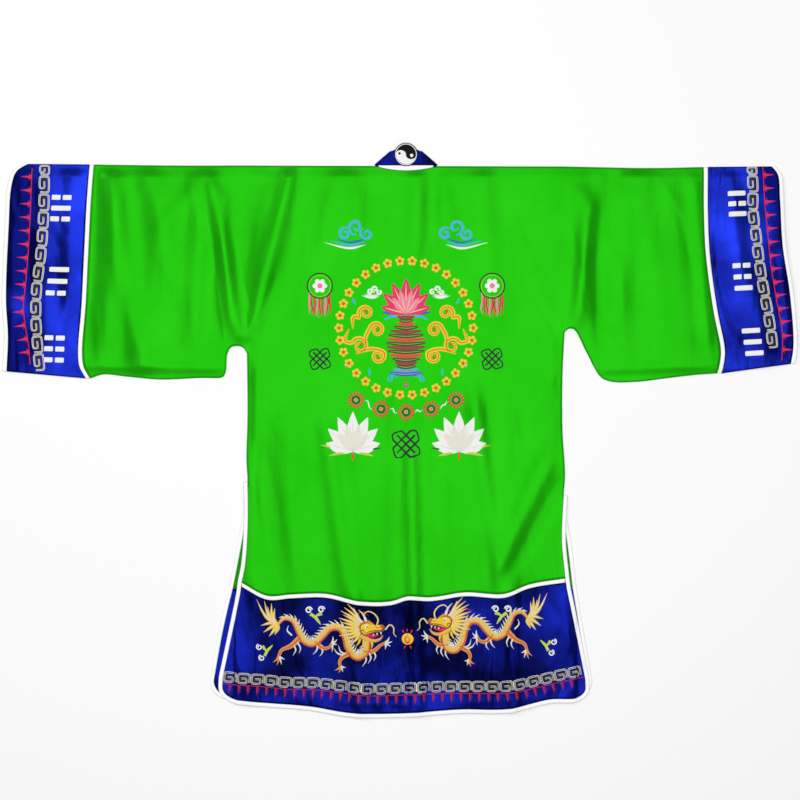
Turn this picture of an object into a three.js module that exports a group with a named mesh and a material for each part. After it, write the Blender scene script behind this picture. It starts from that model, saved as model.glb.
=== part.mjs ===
// A ceremonial robe of green satin, laid flat on its front with its back facing up.
// Millimetres, +Z up, +Y towards the neck, -X the side of the wearer's left arm.
// The front layer rests on z = 0, and the back layer lies on the front layer.
import * as THREE from 'three';

// Driving sizes
const wall = 1.6; // satin with its backing
const seamGap = 0.3; // between two sewn pieces
const pipingWidth = 8;
const pipingRise = 0.5; // how far the middle of a piping stands above the cloth beside it
const turnDown = 3; // width over which the back bends down to the front at a closed edge
const frontInset = 4; // the front ends this far inside a closed edge
const collarWidth = 50;
const patchRadius = 23.5;
const patchSides = 28;
const loft = 1.4; // mean lift of the back between its folds
const frontTop = wall;
const backUnder = frontTop + seamGap;
const backTop = backUnder + wall;
const middleX = 12; // centre back seam and front opening
const pipingStep = pipingWidth + 2 * seamGap; // room that a piping takes between two cloths

// Colours and finish of the cloths
const cloth = (color, roughness) => new THREE.MeshStandardMaterial({ color, roughness, metalness: 0 });
const greenSatin = cloth(0x27c413, 0.45);
const blueSatin = cloth(0x1319b0, 0.35);
const whiteTape = cloth(0xf4f4f2, 0.6);
const patchFelt = cloth(0x151515, 0.8);

// Outlines, top to bottom or left to right. Cuff lines run from the shoulder fold to the underarm.
const leftCuffSeam = [
  { x: -616, y: 532 }, { x: -622, y: 450 }, { x: -627, y: 350 }, { x: -632, y: 250 },
  { x: -639, y: 160 }, { x: -636, y: 128 }, { x: -624, y: 104 },
];
const rightCuffSeam = [
  { x: 611, y: 527 }, { x: 611, y: 436 }, { x: 615, y: 350 }, { x: 630, y: 240 },
  { x: 645, y: 160 }, { x: 642, y: 130 }, { x: 638, y: 114 },
];
const leftCuffMouth = [
  { x: -752, y: 533 }, { x: -774, y: 518 }, { x: -784, y: 490 }, { x: -790, y: 400 },
  { x: -795, y: 262 }, { x: -791, y: 190 }, { x: -794, y: 118 },
];
const rightCuffMouth = [
  { x: 751, y: 528 }, { x: 763, y: 511 }, { x: 767, y: 460 }, { x: 772, y: 370 },
  { x: 787, y: 272 }, { x: 794, y: 170 }, { x: 789, y: 133 },
];
const leftShoulder = [{ x: -616, y: 532 }, { x: -450, y: 530 }, { x: -306, y: 530 }];
const rightShoulder = [{ x: 328, y: 528 }, { x: 500, y: 525 }, { x: 611, y: 527 }];
const leftUnderarm = [
  { x: -624, y: 104 }, { x: -596, y: 112 }, { x: -540, y: 107 }, { x: -480, y: 102 },
  { x: -400, y: 105 }, { x: -356, y: 106 }, { x: -351, y: 110 }, { x: -348, y: 150 },
  { x: -340, y: 165 }, { x: -327, y: 169 }, { x: -314, y: 166 }, { x: -306, y: 154 },
];
const rightUnderarm = [
  { x: 329, y: 196 }, { x: 336, y: 203 }, { x: 350, y: 201 }, { x: 376, y: 152 },
  { x: 400, y: 108 }, { x: 420, y: 98 }, { x: 470, y: 97 }, { x: 530, y: 104 },
  { x: 590, y: 111 }, { x: 638, y: 114 },
];
const leftArmLine = [{ x: -306, y: 530 }, { x: -306, y: 154 }];
const rightArmLine = [{ x: 328, y: 528 }, { x: 329, y: 196 }];
const neckCorner = { left: -50, right: 74, y: 530 };
const neckDip = 10; // depth of the back neckline below the shoulder fold
const leftSide = [
  { x: -306, y: 154 }, { x: -305, y: 30 }, { x: -307, y: -60 }, { x: -304, y: -112 },
  { x: -304, y: -200 }, { x: -309, y: -268 }, { x: -316, y: -304 },
];
const rightSide = [
  { x: 329, y: 196 }, { x: 325, y: 110 }, { x: 325, y: 0 }, { x: 330, y: -90 },
  { x: 326, y: -140 }, { x: 323, y: -220 }, { x: 330, y: -295 },
];
const slitTop = { left: -98, right: -126 };
const frontSlitTop = -165; // the front's own piping starts here, under the back
const hemSeam = [
  { x: -316, y: -308.3 }, { x: -264, y: -334 }, { x: -216, y: -331 }, { x: -150, y: -330 },
  { x: -78, y: -345 }, { x: -18, y: -345 }, { x: 16, y: -335 }, { x: 60, y: -337 },
  { x: 130, y: -327 }, { x: 205, y: -330 }, { x: 260, y: -311 }, { x: 330, y: -299.3 },
];
const leftHemSide = [{ x: -316, y: -312.6 }, { x: -334, y: -400 }, { x: -354, y: -494 }];
const rightHemSide = [{ x: 330, y: -303.6 }, { x: 348, y: -388 }, { x: 370, y: -498 }];
const hemBottom = [
  { x: -354, y: -494 }, { x: -353, y: -520 }, { x: -336, y: -535 }, { x: -300, y: -541 },
  { x: -180, y: -551 }, { x: -100, y: -564 }, { x: 0, y: -565 }, { x: 120, y: -557 },
  { x: 215, y: -556 }, { x: 300, y: -537 }, { x: 353, y: -534 }, { x: 369, y: -521 },
  { x: 370, y: -498 },
];

// The front skirt shows past the back's slits, and its bottom is hidden a little above the back's.
const frontSeamY = -316;
const frontBottomY = -530;
const leftFrontSide = [
  { x: -302, y: 158 }, { x: -301, y: 30 }, { x: -303, y: -60 }, { x: -300, y: -135 },
  { x: -310, y: -190 }, { x: -323, y: -260 }, { x: -334, y: frontSeamY },
];
const rightFrontSide = [
  { x: 324, y: 201 }, { x: 321, y: 110 }, { x: 321, y: 0 }, { x: 325, y: -90 },
  { x: 324, y: -160 }, { x: 335, y: -230 }, { x: 345, y: frontSeamY },
];
const leftFrontHemSide = [
  { x: -334, y: frontSeamY }, { x: -344, y: -356 }, { x: -357, y: -416 }, { x: -372, y: -500 },
];
const rightFrontHemSide = [{ x: 345, y: frontSeamY }, { x: 359, y: -400 }, { x: 376, y: -500 }];
const neckPointY = 526; // the front meets the collar here, under the neck corner
const openingStraightY = 330; // below this the front opening runs straight down

// Folds of the back: a line from (x0, y0) to (x1, y1), its half width, and its rise or, below 0, its dip.
const folds = [
  { x0: -604, y0: 505, x1: -612, y1: 290, half: 13, rise: -2.5 },
  { x0: -578, y0: 490, x1: -522, y1: 160, half: 24, rise: 6 },
  { x0: -500, y0: 500, x1: -456, y1: 320, half: 24, rise: 3.5 },
  { x0: -396, y0: 510, x1: -450, y1: 430, half: 18, rise: 2.5 },
  { x0: -374, y0: 480, x1: -328, y1: 215, half: 15, rise: 6 },
  { x0: -378, y0: 340, x1: -390, y1: 200, half: 14, rise: -3 },
  { x0: -318, y0: 470, x1: -306, y1: 290, half: 20, rise: -2 },
  { x0: -222, y0: 510, x1: -288, y1: 225, half: 16, rise: 5.5 },
  { x0: -200, y0: 500, x1: -216, y1: 260, half: 16, rise: -2.5 },
  { x0: -112, y0: 500, x1: -98, y1: 280, half: 28, rise: 2.5 },
  { x0: 66, y0: 505, x1: 54, y1: 370, half: 14, rise: -3 },
  { x0: 30, y0: 500, x1: 18, y1: 330, half: 20, rise: 2.5 },
  { x0: 168, y0: 490, x1: 184, y1: 250, half: 22, rise: 3 },
  { x0: 380, y0: 440, x1: 354, y1: 240, half: 16, rise: 5.5 },
  { x0: 398, y0: 340, x1: 402, y1: 190, half: 13, rise: -3 },
  { x0: 426, y0: 510, x1: 434, y1: 370, half: 14, rise: -3.5 },
  { x0: 478, y0: 500, x1: 520, y1: 250, half: 30, rise: 4 },
  { x0: 588, y0: 480, x1: 612, y1: 200, half: 15, rise: 3 },
  { x0: -276, y0: -70, x1: -230, y1: -290, half: 18, rise: -3 },
  { x0: -146, y0: -10, x1: -104, y1: -320, half: 20, rise: 5 },
  { x0: -8, y0: 40, x1: -22, y1: -330, half: 13, rise: -3.5 },
  { x0: 22, y0: -60, x1: 36, y1: -545, half: 14, rise: 6 },
  { x0: 154, y0: 30, x1: 200, y1: -320, half: 17, rise: 5 },
  { x0: 316, y0: -120, x1: 244, y1: -246, half: 14, rise: -3 },
  { x0: 288, y0: -90, x1: 206, y1: -262, half: 15, rise: 3.5 },
  { x0: -88, y0: -340, x1: -80, y1: -560, half: 14, rise: 4.5 },
  { x0: 222, y0: -330, x1: 226, y1: -560, half: 15, rise: 5 },
  { x0: -284, y0: -350, x1: -306, y1: -520, half: 22, rise: 4 },
  { x0: 330, y0: -330, x1: 344, y1: -500, half: 16, rise: 3.5 },
  { x0: -654, y0: 500, x1: -662, y1: 270, half: 20, rise: 4.5 },
  { x0: -712, y0: 380, x1: -700, y1: 180, half: 18, rise: 3.5 },
  { x0: -768, y0: 400, x1: -772, y1: 220, half: 13, rise: 3.5 },
  { x0: 660, y0: 470, x1: 676, y1: 300, half: 20, rise: 4 },
  { x0: 700, y0: 280, x1: 724, y1: 160, half: 18, rise: 4 },
  { x0: 752, y0: 440, x1: 772, y1: 220, half: 13, rise: 3 },
];

const clamp01 = (value) => Math.min(Math.max(value, 0), 1);
const smooth = (value) => clamp01(value) ** 2 * (3 - 2 * clamp01(value));

// Height of one fold at (x, y): a soft ridge that fades past its two ends.
function foldHeight(fold, x, y) {
  const length = Math.hypot(fold.x1 - fold.x0, fold.y1 - fold.y0);
  const alongX = (fold.x1 - fold.x0) / length;
  const alongY = (fold.y1 - fold.y0) / length;
  const along = (x - fold.x0) * alongX + (y - fold.y0) * alongY;
  const across = ((x - fold.x0) * alongY - (y - fold.y0) * alongX) / fold.half;
  const beyond = Math.max(-along, along - length, 0) / (2.2 * fold.half);
  return fold.rise * Math.exp(-across * across - beyond * beyond);
}

// The cloth lies down towards its closed edges: the shoulder fold, the underarms and the side seams.
const fadeWidth = 26;
const underarmY = 104;
const armX = { left: -330, right: 352 };
const sideX = { left: -306, right: 326 };
function hold(x, y) {
  const onSleeve = x < armX.left || x > armX.right;
  const shoulder = smooth((530 - y) / fadeWidth);
  if (onSleeve) return shoulder * smooth((y - underarmY) / fadeWidth);
  const seamed = smooth((y - slitTop.left) / (4 * fadeWidth)) * smooth((190 - y) / fadeWidth);
  const sides = smooth((x - sideX.left) / fadeWidth) * smooth((sideX.right - x) / fadeWidth);
  return shoulder * (1 - seamed * (1 - sides));
}

const softness = 1.2; // rounds the relief off where it comes down to the front
function relief(x, y) {
  const raised = folds.reduce((sum, fold) => sum + foldHeight(fold, x, y), loft);
  return (hold(x, y) * (raised + Math.hypot(raised, softness))) / 2;
}
const onBack = (x, y) => backTop + relief(x, y);

// A curve through rows of x and y, by length from 0 to 1.
function curve(rows) {
  const points = rows.map(({ x, y }) => new THREE.Vector3(x, y, 0));
  const spline = new THREE.CatmullRomCurve3(points, false, 'centripetal');
  return (u) => spline.getPointAt(clamp01(u));
}
const part = (line, from, to) => (u) => line(from + (to - from) * u);
const reversed = (line) => (u) => line(1 - u);
const moved = (line, dx, dy) => (u) => line(u).add(new THREE.Vector3(dx, dy, 0));
const straight = (a, b) => (u) => new THREE.Vector3().lerpVectors(a, b, u);

// Where along a line that runs downwards the height is y.
function reach(line, y) {
  let low = 0;
  let high = 1;
  for (let step = 0; step < 30; step++) {
    const middle = (low + high) / 2;
    if (line(middle).y > y) low = middle;
    else high = middle;
  }
  return low;
}

// Points beside a row of points, to its left as it runs for a positive distance.
function beside(points, distance) {
  const leftOf = (a, b) => new THREE.Vector3(a.y - b.y, b.x - a.x, 0).normalize();
  const last = points.length - 1;
  return points.map((point, i) => {
    const before = i > 0 ? leftOf(points[i - 1], point) : leftOf(point, points[1]);
    const after = i < last ? leftOf(point, points[i + 1]) : before;
    const normal = before.clone().add(after).normalize();
    return point.clone().addScaledVector(normal, distance / normal.dot(before));
  });
}

// A patch of cloth between four lines; s runs from left to right and t from top to bottom.
function patch(top, bottom, left, right) {
  return (s, t) => {
    const corners = straight(straight(top(0), top(1))(s), straight(bottom(0), bottom(1))(s))(t);
    return straight(top(s), bottom(s))(t).add(straight(left(t), right(t))(s)).sub(corners);
  };
}

// Steps from 0 to 1, with a narrow one at each end where a rim is asked for.
function steps(count, rim = 0) {
  const inner = Array.from({ length: count + 1 }, (_, i) => rim + ((1 - 2 * rim) * i) / count);
  return rim ? [0, ...inner, 1] : inner;
}

// A geometry from points and triangles, turned to face outwards.
function solid(points, triangles) {
  const cone = ([a, b, c]) => points[a].dot(new THREE.Vector3().crossVectors(points[b], points[c]));
  const volume = triangles.reduce((sum, triangle) => sum + cone(triangle), 0);
  const faces = volume < 0 ? triangles.map(([a, b, c]) => [a, c, b]) : triangles;
  return new THREE.BufferGeometry()
    .setAttribute('position', new THREE.Float32BufferAttribute(points.flatMap((p) => p.toArray()), 3))
    .setIndex(faces.flat());
}

// A cloth wall from rows of { upper, lower } points. A cell that lacks one of its points is left out.
function clothWall(rows) {
  const points = [];
  const triangles = [];
  const numbers = rows.map((row) => row.map((point) => {
    if (!point) return -1;
    points.push(point.upper, point.lower);
    return points.length - 2;
  }));
  const rim = new Map();
  for (let i = 0; i + 1 < rows.length; i++) {
    for (let j = 0; j + 1 < rows[i].length; j++) {
      const cell = [numbers[i][j], numbers[i + 1][j], numbers[i + 1][j + 1], numbers[i][j + 1]];
      if (cell.includes(-1)) continue;
      const [a, b, c, d] = cell;
      triangles.push([a, b, c], [a, c, d], [a + 1, c + 1, b + 1], [a + 1, d + 1, c + 1]);
      cell.forEach((p, k) => {
        const q = cell[(k + 1) % 4];
        if (!rim.delete(`${q} ${p}`)) rim.set(`${p} ${q}`, [p, q]);
      });
    }
  }
  for (const [p, q] of rim.values()) triangles.push([q, p, p + 1], [q, p + 1, q + 1]);
  return solid(points, triangles);
}

// A flattened tube from rings of outer and inner points.
function flatTube(rings) {
  const around = rings[0].outer.length;
  const last = rings.length - 1;
  const points = rings.flatMap((ring) => [...ring.outer, ...ring.inner]);
  const at = (ring, side, k) => ring * 2 * around + side * around + (k % around);
  const triangles = [];
  const quad = (a, b, c, d) => triangles.push([a, b, c], [a, c, d]);
  for (let k = 0; k < around; k++) {
    for (let ring = 0; ring < last; ring++) {
      quad(at(ring, 0, k), at(ring + 1, 0, k), at(ring + 1, 0, k + 1), at(ring, 0, k + 1));
      quad(at(ring, 1, k), at(ring, 1, k + 1), at(ring + 1, 1, k + 1), at(ring + 1, 1, k));
    }
    quad(at(0, 0, k), at(0, 0, k + 1), at(0, 1, k + 1), at(0, 1, k));
    quad(at(last, 0, k), at(last, 1, k), at(last, 1, k + 1), at(last, 0, k + 1));
  }
  return solid(points, triangles);
}

const robe = new THREE.Group();
function add(name, geometry, material) {
  const mesh = new THREE.Mesh(geometry, material);
  mesh.name = name;
  robe.add(mesh);
}

// A point of the back layer, on the cloth or turned down at a closed edge, and a point of the front layer.
function backPoint(at, closed = false, rise = 0) {
  const upper = closed ? backUnder : onBack(at.x, at.y);
  return {
    upper: new THREE.Vector3(at.x, at.y, upper + rise),
    lower: new THREE.Vector3(at.x, at.y, upper - wall),
  };
}
const backPiping = (at, rise) => backPoint(at, false, rise);
const frontPoint = (at) => ({
  upper: new THREE.Vector3(at.x, at.y, frontTop),
  lower: new THREE.Vector3(at.x, at.y, 0),
});

// Pipings: three rows of points, the middle one raised
function pipingRows(lines, place) {
  return clothWall(lines.map((line, i) => line.map((at) => place(at, i === 1 ? pipingRise : 0))));
}
const seamPiping = (line, columns, place) => pipingRows(
  [0.5, 0, -0.5].map((share) => columns.map(moved(line, 0, share * pipingWidth))),
  place,
);
const edgePiping = (points, sign, place) => pipingRows(
  [0, 0.5, 1].map((share) => beside(points, sign * (seamGap + share * pipingWidth))),
  place,
);
const apart = (points) => points.filter((p, i) => i === 0 || p.distanceTo(points[i - 1]) > 1);

// The two hands mirror the order of what lies across; outward is the sign of X away from the middle.
const hands = {
  left: {
    outward: -1,
    seam: leftCuffSeam,
    mouth: leftCuffMouth,
    shoulder: leftShoulder,
    underarm: leftUnderarm,
  },
  right: {
    outward: 1,
    seam: rightCuffSeam,
    mouth: rightCuffMouth,
    shoulder: rightShoulder,
    underarm: rightUnderarm,
  },
};
const armLine = { left: curve(leftArmLine), right: curve(rightArmLine) };
const side = { left: curve(leftSide), right: curve(rightSide) };
const hemSide = { left: curve(leftHemSide), right: curve(rightHemSide) };
const seamLine = curve(hemSeam);
const hemLine = curve(hemBottom);

// The rows of a sleeve, shared by back, front, cuffs and pipings so that their cut edges match
const sleeveDrop = 420;
const rimShare = turnDown / sleeveDrop;
const down = steps(11, rimShare);
const frontDown = [2, 4, 7, 9, 10, 11].map((i) => down[i]);
const sleeveAcross = steps(13);

// A sleeve from its top and underarm lines, cut back at the cuff by half a piping
function sleevePatch({ outward, seam, shoulder, underarm }, armEdge) {
  const end = moved(curve(seam), (-outward * pipingStep) / 2, 0);
  const pullRoom = 60;
  const pulled = (line, endPoint) => (u) => {
    const point = line(u);
    const share = smooth(1 - Math.abs(point.x - endPoint.x) / pullRoom);
    return point.setX(point.x - (outward * share * pipingStep) / 2);
  };
  const top = pulled(curve(shoulder), new THREE.Vector3(seam[0].x, seam[0].y, 0));
  const bottom = pulled(curve(underarm), new THREE.Vector3(seam.at(-1).x, seam.at(-1).y, 0));
  return outward < 0 ? patch(top, bottom, end, armEdge) : patch(top, bottom, armEdge, end);
}
const sleeve = {
  left: sleevePatch(hands.left, armLine.left),
  right: sleevePatch(hands.right, armLine.right),
};

// The top edge of the body: shoulder fold, neckline of the back, shoulder fold.
const topStart = leftArmLine[0];
const topEnd = rightArmLine[0];
function bodyTopAt(x) {
  const across = clamp01((x - neckCorner.left) / (neckCorner.right - neckCorner.left));
  const fold = topStart.y + ((topEnd.y - topStart.y) * (x - topStart.x)) / (topEnd.x - topStart.x);
  return new THREE.Vector3(x, fold - neckDip * Math.sin(Math.PI * across) ** 0.7, 0);
}
const bodyTop = (u) => bodyTopAt(topStart.x + (topEnd.x - topStart.x) * u);
const crotchLine = straight(side.left(0), side.right(0));

// The back, with both sleeve backs cut in one, and the edge of its skirt from slit to slit
const bodyWidth = topEnd.x - topStart.x;
const [neckFrom, neckTo] = [neckCorner.left, neckCorner.right].map((x) => (x - topStart.x) / bodyWidth);
const bodyRim = turnDown / bodyWidth;
const edgeColumns = [12, 28, 48].map((x) => x / bodyWidth); // closer where the hem turns its corners
const between = (from, to, count) => steps(count).map((s) => from + (to - from) * s);
const neckAcross = between(neckFrom, neckTo, 6);
const bodyAcross = [
  0, bodyRim, ...edgeColumns,
  ...between(edgeColumns.at(-1), neckFrom, 8).slice(1, -1),
  ...neckAcross,
  ...between(neckTo, 1 - edgeColumns.at(-1), 8).slice(1, -1),
  ...edgeColumns.map((s) => 1 - s).reverse(), 1 - bodyRim, 1,
];
const upperBody = patch(bodyTop, crotchLine, armLine.left, armLine.right);
const lowerBody = patch(crotchLine, moved(seamLine, 0, pipingStep / 2), side.left, side.right);
const skirtRows = steps(14);
const hemBand = patch(moved(seamLine, 0, -pipingStep / 2), hemLine, hemSide.left, hemSide.right);
const hemRows = steps(6);

function makeBack() {
  const lastRow = down.length - 1;
  const lastColumn = bodyAcross.length - 1;
  const inNeck = (s) => s > neckFrom - bodyRim && s < neckTo + bodyRim;
  const upper = down.map((t, i) => {
    const edge = i === 0 || i === lastRow;
    return [
      ...sleeveAcross.slice(0, -1).map((s) => backPoint(sleeve.left(s, t), edge)),
      ...bodyAcross.map((s, j) => {
        const underarmCorner = i === lastRow && (j === 0 || j === lastColumn);
        return backPoint(upperBody(s, t), underarmCorner || (i === 0 && !inNeck(s)));
      }),
      ...sleeveAcross.slice(1).map((s) => backPoint(sleeve.right(s, t), edge)),
    ];
  });
  const none = sleeveAcross.slice(1).map(() => null);
  const lower = skirtRows.slice(1).map((t) => {
    const body = bodyAcross.map((s, j) => {
      const at = lowerBody(s, t);
      const closedLeft = j === 0 && at.y > slitTop.left;
      const closedRight = j === lastColumn && at.y > slitTop.right;
      return backPoint(at, closedLeft || closedRight);
    });
    return [...none, ...body, ...none];
  });
  add('back', clothWall([...upper, ...lower]), greenSatin);
}

function makeBackHem() {
  const band = hemRows.map((t) => bodyAcross.map((s) => backPoint(hemBand(s, t))));
  add('back_hem_band', clothWall(band), blueSatin);
  add('back_hem_seam_piping', seamPiping(seamLine, bodyAcross, backPiping), whiteTape);
  const slit = (s, top) => skirtRows.map((t) => lowerBody(s, t)).filter((p) => p.y < top);
  const edge = apart([
    ...slit(0, slitTop.left),
    ...hemRows.map((t) => hemBand(0, t)),
    ...bodyAcross.map((s) => hemBand(s, 1)),
    ...hemRows.map((t) => hemBand(1, 1 - t)),
    ...slit(1, slitTop.right).reverse(),
  ]);
  add('back_edge_piping', edgePiping(edge, -1, backPiping), whiteTape);
}

// The front opening: straight below, and leaning out to the neck corner above
function openingAt(hand, y) {
  const { outward } = hands[hand];
  const below = middleX + outward * (collarWidth + pipingStep + 1);
  const above = neckCorner[hand] + outward * pipingStep;
  return new THREE.Vector3(below + (above - below) * leanAt(y), y, 0);
}
const openingRows = [frontBottomY, openingStraightY, 390, 440, 485];
const leanAt = (y) => clamp01((y - openingStraightY) / (neckPointY - openingStraightY));

// One side of the front, with its sleeve front cut in one, its hem band and its white pipings
function makeFront(hand) {
  const { outward } = hands[hand];
  const isLeft = hand === 'left';
  const order = (outer, inner) => (isLeft ? [outer, inner] : [inner, outer]);
  const opening = (from, to) => (t) => openingAt(hand, from + (to - from) * t);
  const across = (outer, y) => straight(...order(outer, openingAt(hand, y)));
  const insetTop = frontInset / sleeveDrop;
  const sideLine = curve(isLeft ? leftFrontSide : rightFrontSide);
  const bandSide = curve(isLeft ? leftFrontHemSide : rightFrontHemSide);
  const seamTop = frontSeamY + seamGap / 2;
  const bandTop = frontSeamY - seamGap / 2;
  const panelSide = part(sideLine, 0, reach(sideLine, seamTop));
  const armTop = sleeve[hand](isLeft ? 1 : 0, insetTop);
  const crotch = panelSide(0);
  const upper = patch(
    across(armTop, armTop.y),
    across(crotch, crotch.y),
    ...order(straight(armTop, crotch), opening(armTop.y, crotch.y)),
  );
  const lower = patch(
    across(crotch, crotch.y),
    across(panelSide(1), seamTop),
    ...order(panelSide, opening(crotch.y, seamTop)),
  );
  const bodyColumns = steps(2);
  const sleeveColumns = isLeft ? sleeveAcross.slice(0, -1) : sleeveAcross.slice(1);
  const bodyRow = (panel, t) => bodyColumns.map((s) => frontPoint(panel(s, t)));
  const upperRows = [insetTop, ...frontDown, 1 - insetTop].map((t) => {
    const sleeveRow = sleeveColumns.map((s) => frontPoint(sleeve[hand](s, t)));
    return order(sleeveRow, bodyRow(upper, (t - insetTop) / (1 - 2 * insetTop))).flat();
  });
  const none = sleeveColumns.map(() => null);
  const panelRows = steps(14);
  const lowerRows = panelRows.slice(1).map((t) => order(none, bodyRow(lower, t)).flat());
  add(`front_${hand}`, clothWall([...upperRows, ...lowerRows]), greenSatin);

  const bandLine = part(bandSide, reach(bandSide, bandTop), 1);
  const corner = bandSide(1);
  const radius = corner.y - frontBottomY;
  const inner = openingAt(hand, frontBottomY);
  const foot = (u) => {
    const x = corner.x + (inner.x - corner.x) * u;
    const turn = clamp01(1 - Math.abs(x - corner.x) / radius);
    return new THREE.Vector3(x, corner.y - radius * Math.sqrt(1 - turn * turn), 0);
  };
  const footLine = isLeft ? foot : reversed(foot);
  const bandSides = order(bandLine, opening(bandTop, frontBottomY));
  const band = patch(across(bandLine(0), bandTop), footLine, ...bandSides);
  const fromOuter = steps(14).map((s) => s * s);
  const columns = isLeft ? fromOuter : fromOuter.map((s) => 1 - s).reverse();
  const bandRows = steps(4);
  const bandCells = bandRows.map((t) => columns.map((s) => frontPoint(band(s, t))));
  add(`front_hem_band_${hand}`, clothWall(bandCells), blueSatin);

  const outerColumn = isLeft ? 0 : 1;
  const edge = apart([
    ...panelRows.map((t) => lower(outerColumn, t)).filter((p) => p.y < frontSlitTop),
    ...bandRows.map((t) => band(outerColumn, t)),
    ...fromOuter.map(foot),
    new THREE.Vector3(middleX + outward, frontBottomY, 0),
  ]);
  add(`front_edge_piping_${hand}`, edgePiping(edge, outward, frontPoint), whiteTape);
  const openingEdge = [...openingRows, neckPointY].reverse().map((y) => openingAt(hand, y));
  add(`front_opening_piping_${hand}`, edgePiping(openingEdge, -outward, frontPoint), whiteTape);
}

// The collar: up the left front, over the fold beside the neck, round the nape and down the right front
function makeCollar() {
  const standTop = { half: 30, y: 558, middleY: 570 };
  const baseY = neckCorner.y + seamGap;
  const bandMiddle = wall / 2;
  const backMiddle = backUnder + wall / 2;
  const foldRadius = (backMiddle - bandMiddle) / 2;
  const neckSpread = { across: 12, along: 44 }; // how far the band leans into the neck
  const halfCollar = (hand) => {
    const { outward } = hands[hand];
    const corner = new THREE.Vector3(neckCorner[hand], baseY, 0);
    const tip = new THREE.Vector3(middleX + outward * standTop.half, standTop.y, 0);
    const rise = tip.clone().sub(corner).normalize();
    const foldOut = new THREE.Vector3(outward * rise.y, Math.abs(rise.x), 0);
    const band = openingRows.map((y) => {
      const outer = openingAt(hand, y).add(new THREE.Vector3(-outward * pipingStep, 0, 0));
      const lean = leanAt(y);
      const acrossBand = -outward * (collarWidth - lean * neckSpread.across);
      const inner = outer.clone().add(new THREE.Vector3(acrossBand, lean * neckSpread.along, 0));
      return { outer, inner, z: bandMiddle, normal: new THREE.Vector3(0, 0, -1) };
    });
    const fold = steps(4).map((turn) => {
      const angle = Math.PI * (turn - 0.5);
      const out = foldOut.clone().multiplyScalar(Math.cos(angle));
      return {
        outer: corner.clone().addScaledVector(out, foldRadius),
        inner: tip.clone().addScaledVector(out, foldRadius),
        z: bandMiddle + foldRadius * (1 + Math.sin(angle)),
        normal: out.clone().setZ(Math.sin(angle)),
      };
    });
    return [...band, ...fold];
  };
  const nape = {
    outer: new THREE.Vector3(middleX, baseY, 0),
    inner: new THREE.Vector3(middleX, standTop.middleY, 0),
    z: backMiddle,
    normal: new THREE.Vector3(0, 0, 1),
  };
  const stations = [...halfCollar('left'), nape, ...halfCollar('right').reverse()];
  const rows = stations.map(({ outer, inner, z, normal }) => steps(2).map((u) => {
    const at = straight(outer, inner)(u).setZ(z);
    return {
      upper: at.clone().addScaledVector(normal, wall / 2),
      lower: at.clone().addScaledVector(normal, -wall / 2),
    };
  }));
  add('collar', clothWall(rows), blueSatin);

  // The white piping between the collar and the back's neckline, a crescent as deep as the neckline
  const neckline = neckAcross.map(bodyTop);
  const tip = 0.35; // of a column
  neckline[0] = straight(neckline[0], neckline[1])(tip);
  neckline[neckline.length - 1] = straight(neckline.at(-1), neckline.at(-2))(tip);
  const crescent = [1, 0.5, 0].map((share) => neckline.map((low) => {
    const lowest = low.y + 2 * seamGap;
    return new THREE.Vector3(low.x, lowest + (neckCorner.y - lowest) * share, 0);
  }));
  add('neck_piping', pipingRows(crescent, backPiping), whiteTape);

  const patchThickness = 1.2;
  const patchY = 551.5;
  const disc = new THREE.CylinderGeometry(patchRadius, patchRadius, patchThickness, patchSides);
  disc.rotateX(Math.PI / 2);
  disc.translate(middleX, patchY, backTop + 2 * seamGap + patchThickness / 2);
  add('neck_patch', disc, patchFelt);
}

// Cuffs and their pipings are flattened tubes round the sleeve ends.
// flat gives the point of the ring's plan at a share of the way down.
function tubeRing(flat, rise) {
  const last = down.length - 1;
  const foldZ = backTop / 2;
  const wallShare = wall / sleeveDrop;
  const outer = [];
  const inner = [];
  down.forEach((t, i) => {
    const at = flat(t);
    const closed = i === 0 || i === last;
    const within = closed ? flat(i === 0 ? wallShare : 1 - wallShare) : at;
    const top = onBack(at.x, at.y);
    outer.push(at.clone().setZ(closed ? foldZ : top + rise));
    inner.push(within.clone().setZ(closed ? foldZ : top - wall));
  });
  for (const t of [down[1], ...frontDown, down[last - 1]].reverse()) {
    const at = flat(t);
    outer.push(at.clone().setZ(0));
    inner.push(at.clone().setZ(frontTop));
  }
  return { outer, inner };
}

function makeCuff(hand) {
  const { outward, seam, mouth } = hands[hand];
  const seamCurve = curve(seam);
  const mouthCurve = curve(mouth);
  const ring = (share, shift, rise) => tubeRing(
    (t) => straight(seamCurve(t), mouthCurve(t))(share).add(new THREE.Vector3(outward * shift, 0, 0)),
    rise,
  );
  const fromSeam = pipingStep / 2;
  const fromMouth = -pipingWidth - seamGap;
  const cuffRings = steps(7).map((s) => ring(s, fromSeam + (fromMouth - fromSeam) * s, 0));
  const pipingRings = (share, from) => [0, pipingRise, 0].map(
    (rise, i) => ring(share, from + (pipingWidth * i) / 2, rise),
  );
  add(`cuff_${hand}`, flatTube(cuffRings), blueSatin);
  add(`cuff_seam_piping_${hand}`, flatTube(pipingRings(0, -pipingWidth / 2)), whiteTape);
  add(`cuff_mouth_piping_${hand}`, flatTube(pipingRings(1, -pipingWidth)), whiteTape);
}

makeBack();
makeBackHem();
for (const hand of Object.keys(hands)) {
  makeFront(hand);
  makeCuff(hand);
}
makeCollar();

export default robe;
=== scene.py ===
# A ceremonial satin robe laid flat on its front, back up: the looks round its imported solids.
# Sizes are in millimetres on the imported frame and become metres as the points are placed.
import math

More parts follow.
